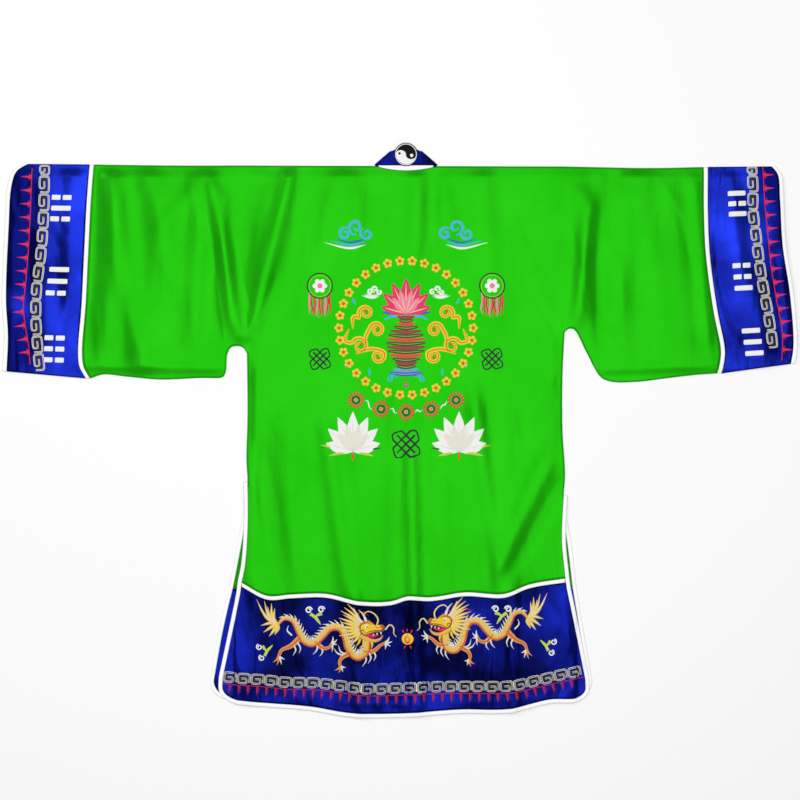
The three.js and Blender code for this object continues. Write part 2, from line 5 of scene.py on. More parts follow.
import bmesh
import bpy
import numpy as np
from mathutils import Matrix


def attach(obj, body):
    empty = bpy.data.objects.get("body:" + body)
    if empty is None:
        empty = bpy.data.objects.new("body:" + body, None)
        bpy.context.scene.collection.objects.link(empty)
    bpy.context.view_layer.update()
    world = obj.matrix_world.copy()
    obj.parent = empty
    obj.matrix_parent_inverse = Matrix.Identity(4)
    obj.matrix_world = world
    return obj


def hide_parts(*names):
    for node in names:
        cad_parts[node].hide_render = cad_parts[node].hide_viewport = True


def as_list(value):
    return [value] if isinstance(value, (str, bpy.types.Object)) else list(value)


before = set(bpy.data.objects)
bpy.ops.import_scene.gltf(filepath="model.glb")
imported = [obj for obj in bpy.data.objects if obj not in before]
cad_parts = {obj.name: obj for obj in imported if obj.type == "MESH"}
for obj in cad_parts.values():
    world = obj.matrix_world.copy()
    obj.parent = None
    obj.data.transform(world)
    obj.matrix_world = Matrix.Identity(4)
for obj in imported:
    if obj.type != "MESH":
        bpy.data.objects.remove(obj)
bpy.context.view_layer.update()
mm = 0.001
curveSteps = 40  # points between two given ones


# Shapes that the pieces share

def curveThrough(rows):
    pts = np.array(rows, float)
    pts = np.vstack([2 * pts[0] - pts[1], pts, 2 * pts[-1] - pts[-2]])
    fine = []
    for p0, p1, p2, p3 in zip(pts, pts[1:], pts[2:], pts[3:]):
        legs = (p1 - p0, p2 - p1, p3 - p2)
        d0, d1, d2 = (math.sqrt(max(np.linalg.norm(leg), 1e-4)) for leg in legs)
        runIn = ((p1 - p0) / d0 - (p2 - p0) / (d0 + d1) + (p2 - p1) / d1) * d1
        runOut = ((p2 - p1) / d1 - (p3 - p1) / (d1 + d2) + (p3 - p2) / d2) * d1
        u = np.linspace(0, 1, curveSteps, endpoint=False)[:, None]
        bend = -3 * p1 + 3 * p2 - 2 * runIn - runOut
        twist = 2 * p1 - 2 * p2 + runIn + runOut
        fine.append(p1 + u * (runIn + u * (bend + u * twist)))
    fine = np.vstack([*fine, pts[-2:-1]])
    along = np.concatenate([[0], np.cumsum(np.linalg.norm(np.diff(fine, axis=0), axis=1))])

    def line(u):
        at = np.clip(np.atleast_1d(u), 0, 1) * along[-1]
        return np.stack([np.interp(at, along, fine[:, k]) for k in range(fine.shape[1])], axis=1)

    line.length = along[-1]
    return line


def moved(line, dx, dy):
    return lambda u: line(u) + np.array([dx, dy])


def straight(a, b):
    return lambda u: np.atleast_1d(u)[:, None] * (np.array(b, float) - a) + np.array(a, float)


def patchOf(top, bottom, left, right):
    def place(s, t):
        s, t = s[:, None], t[:, None]
        corners = (1 - t) * ((1 - s) * top(0) + s * top(1)) + t * ((1 - s) * bottom(0) + s * bottom(1))
        level = (1 - t) * top(s[:, 0]) + t * bottom(s[:, 0])
        return level + (1 - s) * left(t[:, 0]) + s * right(t[:, 0]) - corners
    return place


def polar(radius, angle):
    return np.column_stack([radius * np.cos(angle), radius * np.sin(angle)])


def smooth(v):
    v = np.clip(v, 0, 1)
    return v * v * (3 - 2 * v)


def tightEnds(u, share=0.78):  # grid lines drawn together towards both ends
    return (1 - share) * u + share * (1 - np.cos(np.pi * u)) / 2


def roundOver(d, radius=4.0):  # 0 at a closed edge, 1 where the cloth lies level
    return np.sqrt(np.clip(1 - (1 - np.clip(d / radius, 0, 1)) ** 2, 0, 1))


# Outlines of the cut pieces, as in the solids
cut = {
    "seamGap": 0.3, "pipingWidth": 8.0, "middleX": 12.0, "collarWidth": 50.0, "backTop": 3.5, "foldZ": 1.75,
    "neck": {"left": -50.0, "right": 74.0, "y": 530.0, "dip": 10.0},
    "slitTop": {"left": -98.0, "right": -126.0},
    "frontSeamY": -316.0, "frontBottomY": -530.0, "frontInset": 4.0,
}
pipingStep = cut["pipingWidth"] + 2 * cut["seamGap"]
outlines = {
    "left": {
        "outward": -1,
        "cuffSeam": [
            (-616, 532), (-622, 450), (-627, 350), (-632, 250), (-639, 160), (-636, 128), (-624, 104),
        ],
        "cuffMouth": [
            (-752, 533), (-774, 518), (-784, 490), (-790, 400), (-795, 262), (-791, 190), (-794, 118),
        ],
        "shoulder": [(-616, 532), (-450, 530), (-306, 530)],
        "underarm": [
            (-624, 104), (-596, 112), (-540, 107), (-480, 102), (-400, 105), (-356, 106),
            (-351, 110), (-348, 150), (-340, 165), (-327, 169), (-314, 166), (-306, 154),
        ],
        "arm": [(-306, 530), (-306, 154)],
        "side": [(-306, 154), (-305, 30), (-307, -60), (-304, -112), (-304, -200), (-309, -268), (-316, -304)],
        "hemSide": [(-316, -312.6), (-334, -400), (-354, -494)],
        "frontSide": [
            (-302, 158), (-301, 30), (-303, -60), (-300, -135), (-310, -190), (-323, -260), (-334, -316),
        ],
        "frontHemSide": [(-334, -316), (-344, -356), (-357, -416), (-372, -500)],
    },
    "right": {
        "outward": 1,
        "cuffSeam": [(611, 527), (611, 436), (615, 350), (630, 240), (645, 160), (642, 130), (638, 114)],
        "cuffMouth": [(751, 528), (763, 511), (767, 460), (772, 370), (787, 272), (794, 170), (789, 133)],
        "shoulder": [(328, 528), (500, 525), (611, 527)],
        "underarm": [
            (329, 196), (336, 203), (350, 201), (376, 152), (400, 108),
            (420, 98), (470, 97), (530, 104), (590, 111), (638, 114),
        ],
        "arm": [(328, 528), (329, 196)],
        "side": [(329, 196), (325, 110), (325, 0), (330, -90), (326, -140), (323, -220), (330, -295)],
        "hemSide": [(330, -303.6), (348, -388), (370, -498)],
        "frontSide": [(324, 201), (321, 110), (321, 0), (325, -90), (324, -160), (335, -230), (345, -316)],
        "frontHemSide": [(345, -316), (359, -400), (376, -500)],
    },
    "hemSeam": [
        (-316, -308.3), (-264, -334), (-216, -331), (-150, -330), (-78, -345), (-18, -345),
        (16, -335), (60, -337), (130, -327), (205, -330), (260, -311), (330, -299.3),
    ],
    "hemBottom": [
        (-354, -494), (-353, -520), (-336, -535), (-300, -541), (-180, -551), (-100, -564), (0, -565),
        (120, -557), (215, -556), (300, -537), (353, -534), (369, -521), (370, -498),
    ],
}
hands = ("left", "right")
lines = {
    hand: {name: curveThrough(rows) for name, rows in outlines[hand].items() if name != "outward"}
    for hand in hands
}
hemSeam = curveThrough(outlines["hemSeam"])
hemBottom = curveThrough(outlines["hemBottom"])

# Folds of the back as in the solids: from a point to a point, half width, and rise or dip
foldRows = [
    (-604, 505, -612, 290, 13, -2.5), (-578, 490, -522, 160, 24, 6), (-500, 500, -456, 320, 24, 3.5),
    (-396, 510, -450, 430, 18, 2.5), (-374, 480, -328, 215, 15, 6), (-378, 340, -390, 200, 14, -3),
    (-318, 470, -306, 290, 20, -2), (-222, 510, -288, 225, 16, 5.5), (-200, 500, -216, 260, 16, -2.5),
    (-112, 500, -98, 280, 28, 2.5), (66, 505, 54, 370, 14, -3), (30, 500, 18, 330, 20, 2.5),
    (168, 490, 184, 250, 22, 3), (380, 440, 354, 240, 16, 5.5), (398, 340, 402, 190, 13, -3),
    (426, 510, 434, 370, 14, -3.5), (478, 500, 520, 250, 30, 4), (588, 480, 612, 200, 15, 3),
    (-276, -70, -230, -290, 18, -3), (-146, -10, -104, -320, 20, 5), (-8, 40, -22, -330, 13, -3.5),
    (22, -60, 36, -545, 14, 6), (154, 30, 200, -320, 17, 5), (316, -120, 244, -246, 14, -3),
    (288, -90, 206, -262, 15, 3.5), (-88, -340, -80, -560, 14, 4.5), (222, -330, 226, -560, 15, 5),
    (-284, -350, -306, -520, 22, 4), (330, -330, 344, -500, 16, 3.5),
    (-654, 500, -662, 270, 20, 4.5), (-712, 380, -700, 180, 18, 3.5), (-768, 400, -772, 220, 13, 3.5),
    (660, 470, 676, 300, 20, 4), (700, 280, 724, 160, 18, 4), (752, 440, 772, 220, 13, 3),
]
# Finer creases that the solids leave out
creaseRows = [
    (-590, 470, -560, 250, 6, 1.0), (-548, 300, -520, 190, 7, -1.0), (-470, 330, -470, 180, 8, 1.2),
    (-432, 300, -418, 150, 6, -0.9), (-420, 500, -400, 400, 7, 0.9), (-366, 300, -352, 190, 5, 1.3),
    (-340, 400, -300, 250, 7, -1.2), (-262, 420, -300, 200, 7, 1.1), (-250, 300, -304, 170, 6, -1.1),
    (-306, 150, -250, 60, 9, 1.0), (-300, 100, -220, -40, 10, 0.8), (-180, 420, -200, 330, 8, 0.8),
    (-60, 480, -40, 400, 8, -0.8), (100, 490, 96, 410, 8, -0.9), (220, 440, 300, 240, 9, 1.0),
    (250, 300, 322, 180, 7, -1.2), (330, 330, 320, 200, 6, 1.2), (344, 400, 372, 250, 6, -1.0),
    (440, 330, 450, 150, 7, 1.0), (500, 220, 560, 130, 8, 1.1), (560, 420, 590, 300, 7, -1.0),
    (520, 500, 560, 440, 7, 0.8), (604, 300, 620, 150, 5, 1.1), (-610, 250, -600, 140, 5, 1.0),
    (320, 130, 260, 20, 9, 1.0), (316, 60, 250, -60, 9, -0.8), (-290, -120, -270, -280, 7, 1.1),
    (-210, -60, -190, -300, 9, -1.2), (-176, -150, -160, -320, 7, 1.0), (-110, -180, -70, -330, 8, -1.0),
    (60, -20, 70, -200, 10, 0.9), (100, -100, 110, -320, 8, -1.2), (130, -230, 122, -330, 7, 1.0),
    (230, 20, 250, -120, 8, 1.0), (270, -40, 300, -180, 7, -0.9), (240, -200, 262, -310, 6, 1.2),
    (300, -190, 312, -300, 6, 1.0), (-60, 90, -50, -60, 10, 0.8), (-30, -200, -44, -340, 6, 1.2),
    (-240, -350, -250, -480, 8, -1.3), (-180, -345, -186, -430, 7, 1.2), (-140, -350, -150, -540, 9, -1.4),
    (-40, -350, -30, -470, 7, -1.2), (70, -345, 84, -500, 8, -1.4), (130, -340, 150, -545, 9, 1.5),
    (178, -335, 180, -450, 7, -1.2), (280, -320, 300, -520, 8, -1.6), (-330, -420, -340, -510, 6, 1.2),
    (-310, -480, -200, -535, 8, 1.0), (120, -545, 260, -535, 7, 1.0), (-100, -545, 20, -548, 6, 1.2),
    (-640, 420, -690, 360, 7, 1.2), (-660, 240, -700, 150, 7, -1.2), (-730, 500, -700, 430, 8, 1.1),
    (-750, 360, -780, 330, 6, -1.4), (-760, 250, -786, 180, 6, 1.3), (-690, 210, -640, 150, 6, 1.2),
    (-780, 460, -760, 420, 6, 1.4), (-740, 150, -770, 130, 6, 1.2), (-650, 300, -636, 200, 5, -1.2),
    (640, 400, 700, 340, 7, 1.2), (650, 250, 690, 170, 6, -1.3), (730, 500, 716, 420, 8, 1.0),
    (766, 330, 780, 250, 6, -1.4), (740, 250, 776, 190, 6, 1.4), (690, 230, 660, 140, 6, 1.2),
    (700, 460, 740, 440, 7, -1.0), (720, 160, 760, 145, 6, 1.3), (626, 500, 640, 400, 5, 1.2),
]

# Broad low swells, whose flanks give the satin its dark bands
swellRows = [
    (-566, 500, -584, 200, 24, 5.0), (-400, 460, -410, 210, 22, 4.0), (-352, 460, -344, 230, 14, 3.0),
    (-470, 480, -500, 180, 30, 3.0), (-206, 520, -262, 330, 26, 4.0), (-262, 480, -292, 300, 18, 2.5),
    (-130, 520, -150, 400, 18, 3.0), (-88, 520, -84, 380, 16, 3.0), (40, 520, 40, 380, 18, 3.0),
    (84, 520, 96, 400, 18, 3.5), (140, 510, 150, 420, 20, 2.5), (360, 470, 372, 250, 18, 4.0),
    (446, 500, 440, 260, 24, 4.0), (540, 480, 570, 200, 28, 3.5), (668, 500, 690, 260, 20, 2.0),
    (-292, 90, -296, -290, 16, 2.6), (-222, -20, -206, -320, 30, 4.2), (-80, 0, -66, -325, 30, 4.0),
    (-32, 60, -36, -330, 20, 2.6), (24, 30, 30, -320, 20, 2.6), (86, -40, 92, -320, 28, 3.4),
    (146, 60, 150, -310, 22, 3.0), (206, 20, 222, -290, 26, 3.6), (262, -60, 210, -200, 22, 2.6),
    (-620, 130, -380, 122, 14, 2.0), (430, 118, 620, 132, 14, 2.0), (24, -60, 35, -330, 16, -2.6),
    (-9, 40, -22, -330, 14, 1.0),
]


def foldHeights(rows, x, y):
    total = np.zeros_like(x)
    for x0, y0, x1, y1, half, rise in rows:
        length = math.hypot(x1 - x0, y1 - y0)
        alongX, alongY = (x1 - x0) / length, (y1 - y0) / length
        along = (x - x0) * alongX + (y - y0) * alongY
        across = ((x - x0) * alongY - (y - y0) * alongX) / half
        beyond = np.maximum(np.maximum(-along, along - length), 0) / (2.2 * half)
        total += rise * np.exp(-across ** 2 - beyond ** 2)
    return total


held = {  # the closed edges, and the width over which the cloth rises beside them
    "shoulder": 530, "underarm": 104, "armpit": 190, "sides": (-306, 326), "sleeves": (-330, 352), "fade": 26,
}


def hold(x, y):  # 0 where a closed edge holds the cloth down
    fade = held["fade"]
    left, right = held["sides"]
    shoulder = smooth((held["shoulder"] - y) / fade)
    sleeves = smooth((y - held["underarm"]) / fade)
    seamed = smooth((y - cut["slitTop"]["left"]) / (4 * fade)) * smooth((held["armpit"] - y) / fade)
    sides = smooth((x - left) / fade) * smooth((right - x) / fade)
    onSleeve = (x < held["sleeves"][0]) | (x > held["sleeves"][1])
    return shoulder * np.where(onSleeve, sleeves, 1 - seamed * (1 - sides))


pucker = {"pitch": 17.0, "height": 0.55, "reach": 13.0}  # little gathers that a seam pulls in


def puckers(x, y):
    seams = []  # how far each seam is off, the run along it and where its waves start
    for rows, phase in ((outlines["hemSeam"], 0.3), (outlines["hemBottom"][1:-1], 1.7)):
        seams.append((y - np.interp(x, *np.array(rows).T), x, phase))
    for hand, phase in (("left", 2.2), ("right", 4.0)):
        seamX, seamY = np.array(outlines[hand]["cuffSeam"]).T
        seams.append((x - np.interp(-y, -seamY, seamX), y, phase))
    total = np.zeros_like(x)
    for off, run, phase in seams:
        uneven = np.sin(run / 61 + phase) + 0.6 * np.sin(run / 23 + 2 * phase)
        wave = np.sin(2 * np.pi * run / pucker["pitch"] + 2.2 * uneven)
        wave *= 0.65 + 0.35 * np.sin(run / 37 + phase)
        total += pucker["height"] * wave * np.exp(-np.abs(off) / pucker["reach"])
    return total


relief = {"level": 1.4, "soft": 1.2, "least": 0.1, "creases": 0.45, "swellFade": 75}


def reliefAt(x, y):
    raised = relief["level"] + foldHeights(foldRows, x, y)
    main = (raised + np.hypot(raised, relief["soft"])) / 2
    swells = foldHeights(swellRows, x, y) * smooth((held["shoulder"] - y) / relief["swellFade"])
    fine = relief["creases"] * foldHeights(creaseRows, x, y) + swells + puckers(x, y)
    return hold(x, y) * np.maximum(main + fine, relief["least"])


def topAt(x, y):
    return cut["backTop"] + reliefAt(x, y)


# Tools for meshes

def layGrid(bm, columns, rows, place, across=None, down=None, ink=0, uvSize=(1.0, 1.0)):
    made = bmesh.ops.create_grid(bm, x_segments=columns, y_segments=rows, size=0.5)["verts"]
    s = np.array([v.co.x for v in made]) + 0.5
    t = 0.5 - np.array([v.co.y for v in made])
    s, t = across(s) if across else s, down(t) if down else t
    points = place(s, t) * mm
    uvLayer = bm.loops.layers.uv.verify()
    for vert, point, u, v in zip(made, points, s * uvSize[0] * mm, t * uvSize[1] * mm):
        vert.co = point
        for loop in vert.link_loops:
            loop[uvLayer].uv = (u, v)
    if ink:
        for vert in made:
            for face in vert.link_faces:
                face.material_index = ink


def placed(name, data):
    made = bpy.data.objects.new(name, data)
    bpy.context.scene.collection.objects.link(made)
    return made


def meshObject(name, bm):
    mesh = bpy.data.meshes.new(name)
    bm.to_mesh(mesh)
    bm.free()
    return placed(name, mesh)


def finishPiece(name, bm, materials, nodes=(), wallThickness=0.0, weld=True):
    if weld:
        bmesh.ops.remove_doubles(bm, verts=bm.verts, dist=0.02 * mm)
    for face in bm.faces:
        face.smooth = True
    piece = meshObject(name, bm)
    for material in materials:
        piece.data.materials.append(material)
    if wallThickness:
        wall = piece.modifiers.new("Wall", "SOLIDIFY")
        wall.thickness = wallThickness * mm
        wall.offset = -1
        wall.use_even_offset = True
    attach(piece, "root")
    if nodes:
        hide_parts(*nodes)
    return piece


def makePiece(name, material, node, thickness, *grids):
    bm = bmesh.new()
    for grid in grids:
        layGrid(bm, *grid)
    return finishPiece(name, bm, [material], [node], thickness)


def withHeight(plan, z):
    return np.column_stack([plan, z])


def polyline(points):  # a curve along points, by their number
    points = np.array(points, float)
    at = np.linspace(0, 1, len(points))
    return lambda u: np.column_stack([np.interp(u, at, points[:, k]) for k in range(points.shape[1])])


def beside(points, distance):  # to the left for a positive distance
    points = np.array(points, float)
    legs = np.diff(points, axis=0)
    legs /= np.linalg.norm(legs, axis=1)[:, None]
    left = np.column_stack([-legs[:, 1], legs[:, 0]])
    before, after = np.vstack([left[:1], left]), np.vstack([left, left[-1:]])
    normal = before + after
    normal /= np.linalg.norm(normal, axis=1)[:, None]
    return points + normal * (distance / (normal * before).sum(axis=1))[:, None]


tape = {
    "bulge": 0.5, "edgeDrop": 0.35, "thickness": 1.3, "rows": 6, "pucker": 0.14, "puckerPitch": 11.0,
    # columns and length of each run
    "hemSeam": (170, 660), "edge": (520, 1550), "frontEdge": (220, 700),
    "opening": (240, 1060), "neck": (40, 110),
}


def tapeGrid(edgeA, edgeB, run, heightAt):
    columns, length = tape[run]

    def place(s, t):
        a, b = edgeA(s), edgeB(s)
        plan = a + (b - a) * t[:, None]
        off = np.abs(2 * t - 1)
        ripple = np.sin(s * length * 2 * np.pi / tape["puckerPitch"] + 2.5 * np.sin(s * length / 41))
        bulge = tape["bulge"]
        top = bulge * (1 - off ** 2) - tape["edgeDrop"] * off ** 6 + bulge * tape["pucker"] * ripple
        return withHeight(plan, heightAt(plan[:, 0], plan[:, 1]) + top)
    return columns, tape["rows"], place, None, None, 0, (length, cut["pipingWidth"])


def offsetPair(points, sign):
    far = cut["seamGap"] + cut["pipingWidth"]
    if sign > 0:
        return polyline(beside(points, far)), polyline(beside(points, cut["seamGap"]))
    return polyline(beside(points, -cut["seamGap"])), polyline(beside(points, -far))


# Materials

def addNode(tree, kind, sockets=None, **values):
    node = tree.nodes.new("ShaderNode" + kind)
    for key, value in values.items():
        if key in node.inputs:
            node.inputs[key].default_value = value
        else:
            setattr(node, key, value)
    for key, value in (sockets or {}).items():
        node.inputs[key].default_value = value
    return node


def wire(tree, *pairs):  # each from an output to an input
    for source, target in pairs:
        tree.links.new(source, target)


def makeGroup(name, inputs, outputs):
    group = bpy.data.node_groups.new(name, "ShaderNodeTree")
    for names, way in ((inputs, "INPUT"), (outputs, "OUTPUT")):
        for socket in names:
            kind = "NodeSocketVector" if socket == "Vector" else "NodeSocketFloat"
            group.interface.new_socket(socket, in_out=way, socket_type=kind)
    return group, group.nodes.new("NodeGroupInput").outputs, group.nodes.new("NodeGroupOutput").inputs


def weaveGroup():
    group, start, end = makeGroup("SatinThreads", ["Vector", "Radians per metre"], ["Height", "Cloudiness"])
    warp = addNode(group, "TexWave", {"Detail Scale": 0.6, "Distortion": 1.2, "Detail": 2.0},
                   bands_direction="X")
    # a wave texture turns 20 radians for each unit of its scale
    scaleDown = addNode(group, "Math", {1: 0.05}, operation="MULTIPLY")
    slub = addNode(group, "TexNoise", Scale=90.0, Detail=3.0, Roughness=0.6)
    stretch = addNode(group, "Mapping", {"Scale": (6.0, 1.0, 1.0)})
    # random clouds: partly the cloth's uneven tone and gloss, partly painted sheen patches in the satin
    # colours
    clouds = addNode(group, "TexNoise", Scale=7.0, Detail=4.0, Roughness=0.55)
    mixed = addNode(group, "Math", {1: 0.4}, operation="MULTIPLY_ADD")
    wire(group,
         (start["Vector"], warp.inputs["Vector"]),
         (start["Radians per metre"], scaleDown.inputs[0]),
         (scaleDown.outputs[0], warp.inputs["Scale"]),
         (start["Vector"], stretch.inputs["Vector"]),
         (stretch.outputs["Vector"], slub.inputs["Vector"]),
         (start["Vector"], clouds.inputs["Vector"]),
         (slub.outputs["Fac"], mixed.inputs[0]),
         (warp.outputs["Fac"], mixed.inputs[2]),
         (mixed.outputs[0], end["Height"]),
         (clouds.outputs["Fac"], end["Cloudiness"]))
    return group


def rumpleGroup():
    group, start, end = makeGroup("SoftRumples", ["Vector", "Scale"], ["Height"])
    squeeze = addNode(group, "Mapping", {"Scale": (1.0, 0.32, 1.0)})
    rumples = addNode(group, "TexNoise", Detail=3.0, Roughness=0.45, Distortion=0.6)
    wire(group,
         (start["Vector"], squeeze.inputs["Vector"]),
         (squeeze.outputs["Vector"], rumples.inputs["Vector"]),
         (start["Scale"], rumples.inputs["Scale"]),
         (rumples.outputs["Fac"], end["Height"]))
    return group


def shaded(name, **sockets):  # socket names with their spaces left out
    material = bpy.data.materials.new(name)
    material.use_nodes = True
    shader = material.node_tree.nodes["Principled BSDF"]
    named = {socket.name.replace(" ", ""): socket for socket in shader.inputs}
    for key, value in sockets.items():
        named[key].default_value = value
    return material, material.node_tree, shader.inputs


weave = weaveGroup()
rumple = rumpleGroup()
satinLook = {
    "metallic": 0.65, "roughness": 0.29, "specular": 0.2, "sheen": 0.0, "anisotropic": 0.4,
    "gleam": (0.03, 0.10, 1.0), "radians": 2600.0, "weave": 0.25, "glow": (),
}


def satin(name, **own):
    look = {**satinLook, **own}
    material, tree, shader = shaded(
        name, SheenWeight=look["sheen"], SheenRoughness=0.4, SheenTint=(*look["bright"], 1),
        Anisotropic=look["anisotropic"], SpecularIORLevel=look["specular"], SpecularTint=(*look["gleam"], 1),
        Metallic=look["metallic"])
    coords = addNode(tree, "TexCoord").outputs["Object"]
    threads = addNode(tree, "Group", {"Radians per metre": look["radians"]}, node_tree=weave)
    folds = addNode(tree, "Group", {"Scale": look["rumpleScale"]}, node_tree=rumple)
    # the colour runs from deep to bright by the random clouds: partly uneven tone, partly painted sheen
    # patches
    colours = addNode(tree, "Mix", {"A": (*look["deep"], 1), "B": (*look["bright"], 1)}, data_type="RGBA")
    few, many = look["clouds"]
    patches = addNode(tree, "MapRange", {"From Min": few, "From Max": many})
    rough = look["roughness"]
    gloss = addNode(tree, "MapRange", {"To Min": rough - 0.05, "To Max": rough + 0.07})
    rumpleBump = addNode(tree, "Bump", Strength=1.0, Distance=look["rumple"] * mm)
    threadBump = addNode(tree, "Bump", Strength=look["weave"], Distance=0.1 * mm)
    bright = patches.outputs["Result"]
    if look["glow"]:  # painted highlight and shade: the colour is made lighter or darker towards both ends, and towards the lower edge
        parts = addNode(tree, "SeparateXYZ")
        outward = addNode(tree, "Math", operation="ABSOLUTE")
        wire(tree, (coords, parts.inputs["Vector"]), (parts.outputs["X"], outward.inputs[0]))
        for source, (start, full, gain) in zip((outward.outputs[0], parts.outputs["Y"]), look["glow"]):
            limits = {"From Min": start, "From Max": full, "To Max": gain}
            rise = addNode(tree, "MapRange", limits, interpolation_type="SMOOTHSTEP")
            total = addNode(tree, "Math", operation="ADD", use_clamp=True)
            wire(tree, (source, rise.inputs["Value"]), (rise.outputs["Result"], total.inputs[0]),
                 (bright, total.inputs[1]))
            bright = total.outputs[0]
    wire(tree,
         (coords, threads.inputs["Vector"]),
         (coords, folds.inputs["Vector"]),
         (threads.outputs["Cloudiness"], patches.inputs["Value"]),
         (bright, colours.inputs["Factor"]),
         (colours.outputs["Result"], shader["Base Color"]),
         (threads.outputs["Cloudiness"], gloss.inputs["Value"]),
         (gloss.outputs["Result"], shader["Roughness"]),
         (folds.outputs["Height"], rumpleBump.inputs["Height"]),
         (threads.outputs["Height"], threadBump.inputs["Height"]),
         (rumpleBump.outputs["Normal"], threadBump.inputs["Normal"]),
         (threadBump.outputs["Normal"], shader["Normal"]))
    return material


greenSatin = satin(
    "GreenSatin", deep=(0.009, 0.315, 0.0025), bright=(0.014, 0.385, 0.0045), gleam=(0.05, 1.0, 0.03),
    metallic=0.32, roughness=0.36, specular=0.18, sheen=0.04, anisotropic=0.3, rumple=2.5, rumpleScale=12.0,
    clouds=(0.3, 0.7))
# painted shade: the cuff satin's colour is darker towards the cuff mouths
blueSatin = satin(
    "BlueSatin", deep=(0.002, 0.003, 0.08), bright=(0.009, 0.024, 0.46), rumple=18.0, rumpleScale=10.0,
    clouds=(0.3, 0.68), glow=((0.665, 0.76, -0.5),))
# painted highlights: the hem satin's colour is lighter towards both ends and towards the lower edge
hemSatin = satin(
    "HemSatin", deep=(0.001, 0.0014, 0.02), bright=(0.004, 0.009, 0.21), specular=0.12, rumple=24.0,
    rumpleScale=9.0, clouds=(0.42, 0.78), glow=((0.26, 0.35, 0.55), (-0.5, -0.545, 0.5)))
whiteSatin = satin(
    "WhiteSatin", deep=(0.88, 0.88, 0.88), bright=(0.94, 0.94, 0.94), gleam=(1.0, 1.0, 1.0), metallic=0.0,
    roughness=0.45, specular=0.3, sheen=0.1, anisotropic=0.2, radians=1800.0, weave=0.3, rumple=0.8,
    rumpleScale=60.0, clouds=(0.3, 0.7))
print("materials made")

# The back, with both sleeve backs cut in one
back = {
    "low": 0.5, "thickness": 1.1, "width": 634.0, "easeIn": 60.0,
    "neckEase": 6.0, "neckRise": 50.0, "slitStart": 18.0, "slitEase": 30.0,
    # columns and rows of each grid
    "sleeve": (66, 90), "upper": (122, 90), "lower": (122, 100), "hem": (150, 52),
}
neck = cut["neck"]
armLeft, armRight = lines["left"]["arm"], lines["right"]["arm"]


def topEdge(u):
    a, b = armLeft(0)[0], armRight(0)[0]
    x = a[0] + (b[0] - a[0]) * np.atleast_1d(u)
    across = np.clip((x - neck["left"]) / (neck["right"] - neck["left"]), 0, 1)
    fold = a[1] + (b[1] - a[1]) * np.atleast_1d(u)
    return np.column_stack([x, fold - neck["dip"] * np.sin(np.pi * across) ** 0.7])


def sleevePatch(hand):
    rows, outward = lines[hand], outlines[hand]["outward"]
    end = moved(rows["cuffSeam"], -outward * pipingStep / 2, 0)

    def pulled(line, endX):
        def place(u):
            points = line(u)
            share = smooth(1 - np.abs(points[:, 0] - endX) / back["easeIn"])
            points[:, 0] -= outward * share * pipingStep / 2
            return points
        return place

    seam = outlines[hand]["cuffSeam"]
    top, bottom = pulled(rows["shoulder"], seam[0][0]), pulled(rows["underarm"], seam[-1][0])
    sides = (end, rows["arm"]) if hand == "left" else (rows["arm"], end)
    return patchOf(top, bottom, *sides)


crotch = straight(lines["left"]["side"](0)[0], lines["right"]["side"](0)[0])
sleeves = {hand: sleevePatch(hand) for hand in hands}
upperBody = patchOf(topEdge, crotch, armLeft, armRight)
aboveSeam, belowSeam = moved(hemSeam, 0, pipingStep / 2), moved(hemSeam, 0, -pipingStep / 2)
lowerBody = patchOf(crotch, aboveSeam, lines["left"]["side"], lines["right"]["side"])
hemBand = patchOf(belowSeam, hemBottom, lines["left"]["hemSide"], lines["right"]["hemSide"])


def lowered(plan, d, share=1.0, low=back["low"]):
    top = topAt(plan[:, 0], plan[:, 1])
    return withHeight(plan, top - (top - low) * (1 - roundOver(d)) * share)


def placeSleeve(hand):
    def place(s, t):
        plan = sleeves[hand](s, t)
        drop = sleeves[hand](s, np.zeros_like(s))[:, 1] - sleeves[hand](s, np.ones_like(s))[:, 1]
        return lowered(plan, np.minimum(t, 1 - t) * drop)
    return place


def placeUpper(s, t):
    plan = upperBody(s, t)
    edge = topEdge(s)
    drop = edge[:, 1] - crotch(s)[:, 1]
    ease = back["neckEase"]
    inNeck = smooth((edge[:, 0] - neck["left"]) / ease) * smooth((neck["right"] - edge[:, 0]) / ease)
    corner = np.hypot(back["width"] * np.minimum(s, 1 - s), (1 - t) * drop)
    return lowered(plan, np.minimum(t * drop + inNeck * back["neckRise"], corner))


def placeLower(s, t):
    plan = lowerBody(s, t)
    top = np.where(s < 0.5, cut["slitTop"]["left"], cut["slitTop"]["right"])
    share = smooth((plan[:, 1] - top + back["slitStart"]) / back["slitEase"])
    return lowered(plan, back["width"] * np.minimum(s, 1 - s), share)


def onPlan(patch):
    def place(s, t):
        plan = patch(s, t)
        return withHeight(plan, topAt(plan[:, 0], plan[:, 1]))
    return place


backPiece = makePiece(
    "back_satin", greenSatin, "back", back["thickness"],
    *((*back["sleeve"], placeSleeve(hand), None, tightEnds) for hand in hands),
    (*back["upper"], placeUpper, tightEnds, tightEnds),
    (*back["lower"], placeLower, tightEnds))
backHem = makePiece("back_hem_satin", hemSatin, "back_hem_band", back["thickness"],
                    (*back["hem"], onPlan(hemBand), tightEnds))
halfTape = cut["pipingWidth"] / 2
hemSeamTape = makePiece(
    "back_hem_seam_tape", whiteSatin, "back_hem_seam_piping", tape["thickness"],
    tapeGrid(moved(hemSeam, 0, halfTape), moved(hemSeam, 0, -halfTape), "hemSeam", topAt))

